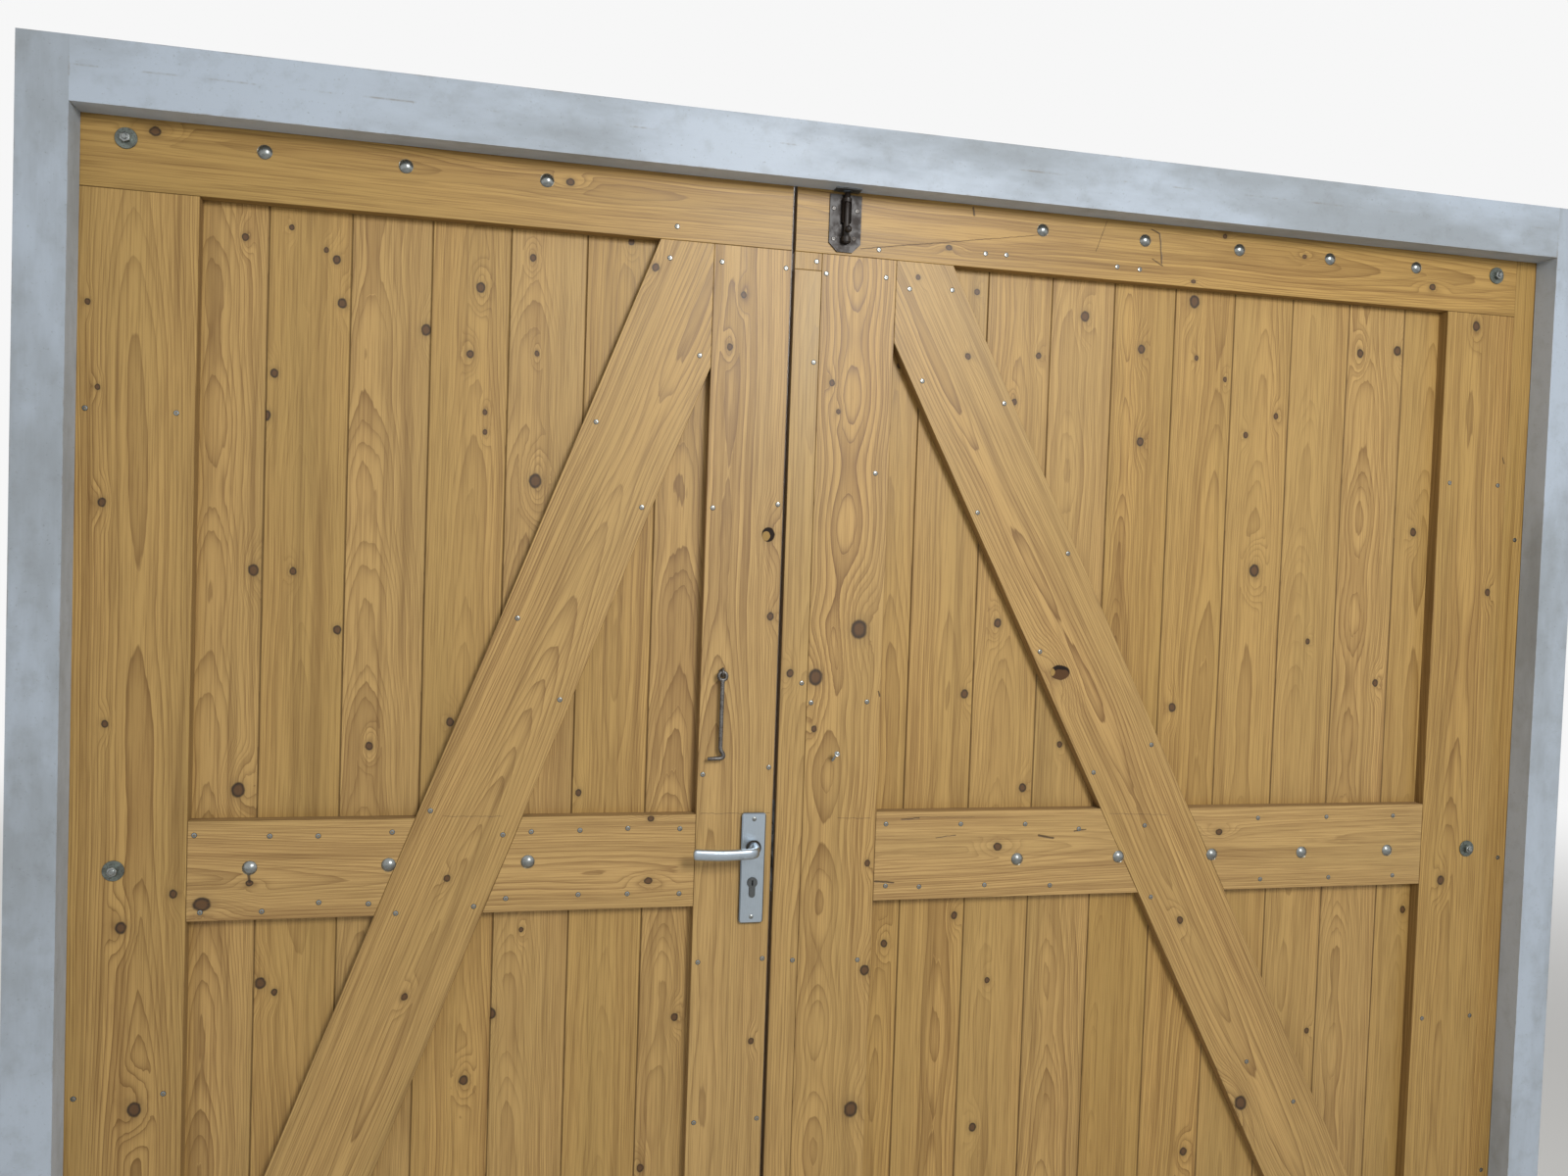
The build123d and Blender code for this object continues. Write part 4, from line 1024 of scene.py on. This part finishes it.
def screw_head(bm, x, y, z, radius, turn):
    """A countersunk head with a cross recess, which faces the room."""
    cross = [RECESS_REACH[0 if i % 3 == 0 else 1] for i in range(12)]
    rings = (([1.0] * 12, -0.3), ([1.0] * 12, 0.0), ([0.84] * 12, 0.08), (cross, 0.1),
             ([r * 0.8 for r in cross], -0.3))
    loops, every = [], []
    for radii, height in rings:
        ring, edges = circle(bm, 12)
        for v, reach in zip(ring, radii):
            v.co = v.co * reach + Vector((0, 0, height))
        loops.append(edges)
        every += ring

    # The rim in the wood and the recess get the very dark zinc as painted shade, the rest is
    # bright.
    for number, (first, second) in enumerate(zip(loops, loops[1:])):
        for face in bmesh.ops.bridge_loops(bm, edges=first + second)["faces"]:
            face.material_index = 1 if number in (1, 3) else 0
    for face in bmesh.ops.holes_fill(bm, edges=loops[-1], sides=12)["faces"]:
        face.material_index = 1
    place = Matrix.Translation(metres(x, y, z)) @ Matrix.Rotation(math.radians(90), 4, "X")
    place = place @ Matrix.Rotation(turn, 4, "Z") @ Matrix.Scale(radius, 4)
    bmesh.ops.transform(bm, matrix=place, verts=every)


def make_object(bm, name, *materials):
    """Turns a bmesh into an object with its materials."""
    mesh = bpy.data.meshes.new(name)
    bm.to_mesh(mesh)
    bm.free()
    piece = bpy.data.objects.new(name, mesh)
    bpy.context.scene.collection.objects.link(piece)
    for material in materials:
        mesh.materials.append(material)
    return piece


def add_piece(bm, name, body, slot, *finishes, angle=35):
    """Turns a bmesh into a finished piece that rides on a body, smooth but for its sharp edges."""
    bmesh.ops.recalc_face_normals(bm, faces=bm.faces)
    for face in bm.faces:
        face.smooth = True
    for edge in bm.edges:
        if len(edge.link_faces) == 2 and edge.calc_face_angle(0) > math.radians(angle):
            edge.smooth = False
    piece = make_object(bm, name, *(metal(finish) for finish in finishes or (slot,)))
    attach(piece, body)
    return piece


class DOOR_OT_varnish(bpy.types.Operator):
    """Gives every wooden piece of both leaves its varnished pine"""
    bl_idname = "door.varnish"
    bl_label = "Varnish the leaves"

    def execute(self, context):
        for node in nodes_of("varnished_pine"):
            dress(node, pine_material(node, context.scene.door_pine))
        return {"FINISHED"}


class DOOR_OT_paint_frame(bpy.types.Operator):
    """Paints the posts, the head and its stop"""
    bl_idname = "door.paint_frame"
    bl_label = "Paint the frame"

    def execute(self, context):
        for node in nodes_of("white_timber"):
            dress(node, paint_material(node, context.scene.door_paint))
        return {"FINISHED"}


class DOOR_OT_finish_metal(bpy.types.Operator):
    """Gives the metal pieces their finish"""
    bl_idname = "door.finish_metal"
    bl_label = "Finish the metal"

    def execute(self, context):
        for slot in METALS:
            for node in nodes_of(slot):
                dress(node, metal("cover_plate" if node == "lever_plates" else slot))
                smooth_turned_faces(node)
        return {"FINISHED"}


class DOOR_OT_add_bolts(bpy.types.Operator):
    """Adds the domed coach bolts with their nuts and washers"""
    bl_idname = "door.add_bolts"
    bl_label = "Add coach bolts"

    def bolt(self, settings, depth, steps=7):
        """Profile of a bolt: end of its shank at a depth, then shank, rim and domed head."""
        radius, height = settings.dome_radius * 1000, settings.dome_height * 1000
        ball = (radius ** 2 + height ** 2) / (2 * height)
        half = math.asin(min(1.0, (radius - 0.3) / ball))
        profile = [(0, -depth), (SHANK_RADIUS - SHANK_CHAMFER, -depth),
                   (SHANK_RADIUS, SHANK_CHAMFER - depth), (SHANK_RADIUS, 0), (radius, 0),
                   (radius, DOME_RIM)]
        for i in range(steps + 1):
            turn = half * (1 - i / steps)
            profile.append((ball * math.sin(turn), height - ball + ball * math.cos(turn)))
        return profile

    def nut(self, bm, x, face, z, way):
        """A six-sided nut on a face, turned as it happened to be tightened."""
        place = Matrix.Translation(metres(x, face + way * NUT_HEIGHT / 2, z))
        place = place @ Matrix.Rotation(math.radians(90), 4, "X")
        place = place @ Matrix.Rotation((x + z) * 0.7 % 1.0, 4, "Z")
        nut = bmesh.ops.create_cone(
            bm, cap_ends=True, segments=6, radius1=NUT_RADIUS / 1000, radius2=NUT_RADIUS / 1000,
            depth=NUT_HEIGHT / 1000, matrix=place)["verts"]
        rims = [edge for edge in dict.fromkeys(e for v in nut for e in v.link_edges)
                if any(len(end.verts) == 6 for end in edge.link_faces)]
        bmesh.ops.bevel(bm, geom=rims, offset=NUT_BEVEL / 1000, offset_type="OFFSET",
                        affect="EDGES", segments=2, profile=0.5, material=-1)

    def leaf(self, settings, side, rail_bolts, stile_bolts):
        """The bolts, nuts and washers of one leaf."""
        bm = bmesh.new()
        rail_bolt = self.bolt(settings, STRAP_FACE + SHANK_PAST_STRAP - ROOM_FACE)
        stile_bolt = self.bolt(settings, STRAP_FACE + SHANK_PAST_STILE - ROOM_FACE)
        for x, z in rail_bolts:
            turned(bm, rail_bolt, (x, ROOM_FACE, z), (0, -1, 0))
        for x, z in stile_bolts:
            turned(bm, stile_bolt, (x, STRAP_FACE, z), (0, 1, 0))
        piece = add_piece(bm, side + "_coach_bolts", side + "_leaf", "zinc_steel")
        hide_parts(side + "_strap_bolts")

        bm = bmesh.new()
        for x, z in rail_bolts:
            self.nut(bm, x, STRAP_FACE, z, 1)
        for x, z in stile_bolts:
            self.nut(bm, x, ROOM_FACE - WASHER_THICKNESS, z, -1)
            turned(bm, WASHER, (x, ROOM_FACE, z), (0, -1, 0), closed=True, steps=32)
        for face in bm.faces:
            rise = ROOM_FACE - face.calc_center_median().y * 1000
            face.material_index = 1 if DULL_RISES[0] < rise < DULL_RISES[1] else 0
        piece = add_piece(bm, side + "_nuts", side + "_leaf", "zinc_steel", "zinc_steel",
                          "dull_zinc", angle=25)
        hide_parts(side + "_nuts_and_washers")

    def execute(self, context):
        for side, (heights, across, stile) in BOLTS.items():
            self.leaf(context.scene.door_fitting, side, [(x, z) for z in heights for x in across],
                      [(stile, z) for z in heights])
        return {"FINISHED"}


class DOOR_OT_add_screws(bpy.types.Operator):
    """Adds the countersunk screws of both leaves and of the fittings"""
    bl_idname = "door.add_screws"
    bl_label = "Add screws"

    def execute(self, context):
        radius = context.scene.door_fitting.screw_radius
        for leaf, places in SCREWS.items():
            bm = bmesh.new()
            for x, z in places:
                turn = (x * 0.37 + z * 0.11) % 1.57
                screw_head(bm, x, ROOM_FACE - SCREW_RISE, z, radius, turn)
            add_piece(bm, leaf + "_screws", leaf, "zinc_steel", "zinc_steel", "grimy_zinc")
        bm = bmesh.new()
        for x, z in TOWER_BOLT_SCREWS:
            screw_head(bm, x, ROOM_FACE - TOWER_BOLT_SCREW_RISE, z, radius, x * 0.5)
        add_piece(bm, "tower_bolt_screws", "right_leaf", "dark_steel", "dark_steel", "grimy_zinc")
        bm = bmesh.new()
        for z in COVER_PLATE_SCREWS:
            for face, way in LOCK_SIDES:
                turned(bm, COVER_PLATE_SCREW, (SPINDLE[0], face + way * COVER_PLATE_THICKNESS, z),
                       (0, way, 0), steps=20)
        add_piece(bm, "plate_screws", "left_leaf", "zinc_steel", "zinc_steel", "grimy_zinc")
        return {"FINISHED"}


class DOOR_OT_add_proud_screw(bpy.types.Operator):
    """Adds the screw that was left standing out of the right leaf's meeting stile"""
    bl_idname = "door.add_proud_screw"
    bl_label = "Add proud screw"

    def execute(self, context):
        bm = bmesh.new()
        pitch, root, crest = PROUD_SCREW_THREAD
        profile = [(1.7, -6.0)]
        for i in range(17):
            profile += [(crest, i * pitch), (root, (i + 0.5) * pitch)]
        turned(bm, [*profile, *PROUD_SCREW_HEAD], PROUD_SCREW, PROUD_SCREW_LEAN, steps=16)
        add_piece(bm, "proud_screw", "right_leaf", "zinc_steel", angle=60)
        return {"FINISHED"}


class DOOR_OT_add_levers(bpy.types.Operator):
    """Adds the two bent levers on their round necks, and rings of painted shadow round the necks"""
    bl_idname = "door.add_levers"
    bl_label = "Add levers"

    def lever(self, bm, settings, face, way):
        """One lever from its neck to its rounded tip."""
        reach, long = settings.lever_reach * 1000, settings.lever_length * 1000
        x, z = SPINDLE
        arm, end = face + way * reach, x - long + LEVER_TIP[-1][0]
        path = rounded_path([(x, face + way * 9.0, z), (x, arm, z), (x - long * 0.55, arm, z - 2.5),
                             (end, arm, z)], LEVER_BEND, 8)
        near, far = LEVER_SECTIONS
        sizes = [near.lerp(far, max(0.0, (x - point.x) / long)) for point in path]
        for out, share in LEVER_TIP:
            path.append(Vector((end - out, arm, z)))
            sizes.append(far * share)
        swept(bm, path, sizes, (0, 0, 1), sides=24, square=0.72)
        turned(bm, LEVER_NECK, (x, face, z), (0, way, 0), steps=32)

    def execute(self, context):
        bm = bmesh.new()
        for face, way in LOCK_SIDES:
            self.lever(bm, context.scene.door_fitting, face, way)
        piece = add_piece(bm, "bent_levers", "lever", "satin_aluminium", angle=50)
        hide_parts("levers")
        # Thin near-black rings round the necks on the cover plates are painted shadow.
        bm = bmesh.new()
        for face, way in LOCK_SIDES:
            plate = face + way * COVER_PLATE_THICKNESS
            turned(bm, NECK_SHADOW_RING, (SPINDLE[0], plate, SPINDLE[1]), (0, way, 0), steps=40,
                   closed=True)
        add_piece(bm, "neck_rings", "left_leaf", "zinc_steel", "grimy_zinc")
        return {"FINISHED"}


class DOOR_OT_add_hook(bpy.types.Operator):
    """Adds the cabin hook and its screw eye"""
    bl_idname = "door.add_hook"
    bl_label = "Add cabin hook"

    def execute(self, context):
        settings = context.scene.door_fitting
        wire, eye = settings.hook_wire * 1000, settings.eye_wire * 1000
        x, y, z = EYE_PLACE

        bm = bmesh.new()
        turned_ring(bm, (x, y, z), (1, 0, 0), EYE_RADIUS, eye)
        stem = [Vector((x, depth, z)) for depth in (y + 5.5, 1.5, 18.0)]
        swept(bm, stem, [(eye, eye)] * 3, (0, 0, 1))
        rose = [(eye, 1.2), (4.4, 1.2), (5.0, 0.4), (5.0, 0.0), (eye, 0.0)]
        turned(bm, rose, (x, ROOM_FACE, z), (0, -1, 0), closed=True)
        piece = add_piece(bm, "screw_eye", "left_leaf", "dark_steel", angle=50)
        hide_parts("hook_eye")

        bm = bmesh.new()
        rise, radius, thick = HOOK_BOW
        turned_ring(bm, (x, y, z + rise), (0, 1, 0), radius, thick)
        path = rounded_path([(x + aside, y, z + up) for aside, up in HOOK_ROUTE], HOOK_BEND)
        sizes = [(wire, wire)] * (len(path) - 1) + [(wire * 0.85, wire * 0.85)]
        swept(bm, path, sizes, (0, 1, 0))
        piece = add_piece(bm, "hanging_hook", "hook", "dark_steel", angle=50)
        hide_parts("cabin_hook")
        return {"FINISHED"}


class DOOR_OT_add_tower_bolt(bpy.types.Operator):
    """Adds the tower bolt's round bar and its knob"""
    bl_idname = "door.add_tower_bolt"
    bl_label = "Add tower bolt"

    def execute(self, context):
        bm = bmesh.new()
        (low, top), radius = TOWER_BOLT_ENDS, TOWER_BOLT_RADIUS
        bar = [(0, low), (radius - 0.6, low), (radius, low + 0.6), (radius, top - 1.5),
               (radius - 1.4, top), (0, top)]
        turned(bm, bar, (*TOWER_BOLT, 0), (0, 0, 1), steps=28)
        knob, (ball, middle) = list(KNOB_NECK), KNOB_BALL
        for i in range(1, 9):
            turn = math.pi * i / 8.5 * 0.94 + 0.19
            knob.append((ball * math.sin(turn), middle - ball * math.cos(turn)))
        knob.append((0.0, middle + ball))
        turned(bm, knob, (*TOWER_BOLT, KNOB_HEIGHT), (0, -1, 0), steps=24)
        piece = add_piece(bm, "sliding_bolt", "tower_bolt", "brown_iron", angle=45)
        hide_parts("tower_bolt_rod")
        return {"FINISHED"}


class DOOR_OT_stage(bpy.types.Operator):
    """Adds the floor, the soft lamps, the even sky and the camera"""
    bl_idname = "door.stage"
    bl_label = "Set the stage"

    def seen(self, tree):
        """1 for what the camera, a reflection or glass shows, and 0 for light on the object."""
        path = tree.nodes.new("ShaderNodeLightPath").outputs
        seen = most(tree, path["Is Camera Ray"], path["Is Glossy Ray"])
        return most(tree, seen, path["Is Transmission Ray"])

    def floor(self, settings):
        """A pale floor that keeps the shadow and fades into the background."""
        bm = bmesh.new()
        x, y, z = STAGE_MIDDLE
        bmesh.ops.create_grid(bm, x_segments=1, y_segments=1, size=FLOOR_SIZE,
                              matrix=Matrix.Translation((x, y, z - FLOOR_DROP)))
        material, tree, shader, place = start_material("Pale floor")
        tone = Vector(settings.floor)
        shade = blend(tree, noise(tree, place, 1.4, 3.0), rgba(tone * 0.97), rgba(tone))
        finish_surface(tree, shader, shade, 0.7)
        away = vector(tree, "LENGTH", vector(tree, "SUBTRACT", place, STAGE_MIDDLE))
        far = times(tree, fade(tree, away, *FLOOR_FADE), self.seen(tree))
        glow = put(tree, "ShaderNodeEmission", {"Strength": BACKGROUND})
        mixed = put(tree, "ShaderNodeMixShader", {0: far, 1: shader.outputs[0], 2: glow.outputs[0]})
        out = next(n for n in tree.nodes if n.type == "OUTPUT_MATERIAL")
        fill(tree, out.inputs["Surface"], mixed.outputs[0])
        piece = make_object(bm, "pale_floor", material)

    def lamp(self, scene, name, place, target, size, power_name):
        """A square lamp that looks at a target."""
        data = bpy.data.lights.new(name, "AREA")
        data.shape, data.size = "SQUARE", size
        data.energy = getattr(scene.door_stage, power_name)
        lamp = bpy.data.objects.new(name, data)
        lamp.location = place
        way = Vector(target) - Vector(place)
        lamp.rotation_euler = way.to_track_quat("-Z", "Y").to_euler()
        scene.collection.objects.link(lamp)

    def sky(self, scene):
        """Even light from all sides, with the background's brightness where it is seen."""
        world = bpy.data.worlds.new("Even sky")
        scene.world = world
        world.use_nodes = True
        tree = world.node_tree
        tree.nodes.clear()
        ambient = scene.door_stage.ambient
        strength = line(tree, self.seen(tree), BACKGROUND - ambient, ambient)
        sky = put(tree, "ShaderNodeBackground", {"Color": (1.0, 1.0, 1.0, 1.0),
                                                "Strength": strength})
        out = tree.nodes.new("ShaderNodeOutputWorld")
        fill(tree, out.inputs[0], sky.outputs[0])

    def camera(self, scene):
        """The camera at the photograph's place and angle."""
        yaw, pitch, roll = (math.radians(angle) for angle in CAMERA_TURN)
        ahead = Vector((math.sin(yaw) * math.cos(pitch), math.cos(yaw) * math.cos(pitch),
                        math.sin(pitch)))
        right = Vector((math.cos(yaw), -math.sin(yaw), 0))
        up = right.cross(ahead)
        across = math.cos(roll) * right + math.sin(roll) * up
        upward = -math.sin(roll) * right + math.cos(roll) * up
        data = bpy.data.cameras.new("Camera")
        data.sensor_fit = "HORIZONTAL"
        data.lens, data.sensor_width = CAMERA_LENS
        data.clip_start, data.clip_end = 0.05, 60.0
        camera = bpy.data.objects.new("Camera", data)
        turn = Matrix((across, upward, -ahead)).transposed().to_4x4()
        camera.matrix_world = Matrix.Translation(CAMERA_PLACE) @ turn
        scene.collection.objects.link(camera)
        scene.camera = camera

    def execute(self, context):
        self.floor(context.scene.door_stage)
        for lamp in LAMPS:
            self.lamp(context.scene, *lamp)
        self.sky(context.scene)
        self.camera(context.scene)
        context.scene.view_settings.view_transform = "Standard"
        return {"FINISHED"}


SETTINGS = {"door_pine": PineSettings, "door_paint": PaintSettings, "door_metal": MetalSettings,
            "door_fitting": FittingSettings, "door_stage": StageSettings}
STEPS = (DOOR_OT_varnish, DOOR_OT_paint_frame, DOOR_OT_finish_metal, DOOR_OT_add_bolts,
         DOOR_OT_add_screws, DOOR_OT_add_proud_screw, DOOR_OT_add_levers, DOOR_OT_add_hook,
         DOOR_OT_add_tower_bolt, DOOR_OT_stage)


class DOOR_PT_panel(bpy.types.Panel):
    bl_label = "Garage Door"
    bl_idname = "DOOR_PT_panel"
    bl_space_type = "VIEW_3D"
    bl_region_type = "UI"
    bl_category = "Garage Door"

    def draw(self, context):
        for name, group in SETTINGS.items():
            box = self.layout.box()
            for setting in group.__annotations__:
                box.prop(getattr(context.scene, name), setting)
        for operator in STEPS:
            self.layout.operator(operator.bl_idname)


def register():
    for name, group in SETTINGS.items():
        bpy.utils.register_class(group)
        setattr(bpy.types.Scene, name, bpy.props.PointerProperty(type=group))
    for operator in STEPS:
        bpy.utils.register_class(operator)
    bpy.utils.register_class(DOOR_PT_panel)


def unregister():
    bpy.utils.unregister_class(DOOR_PT_panel)
    for operator in reversed(STEPS):
        bpy.utils.unregister_class(operator)
    for name, group in reversed(SETTINGS.items()):
        delattr(bpy.types.Scene, name)
        bpy.utils.unregister_class(group)


def main():
    register()
    for operator in STEPS:
        step = operator.bl_idname.split(".")[1]
        getattr(bpy.ops.door, step)()


if __name__ == "__main__":
    main()
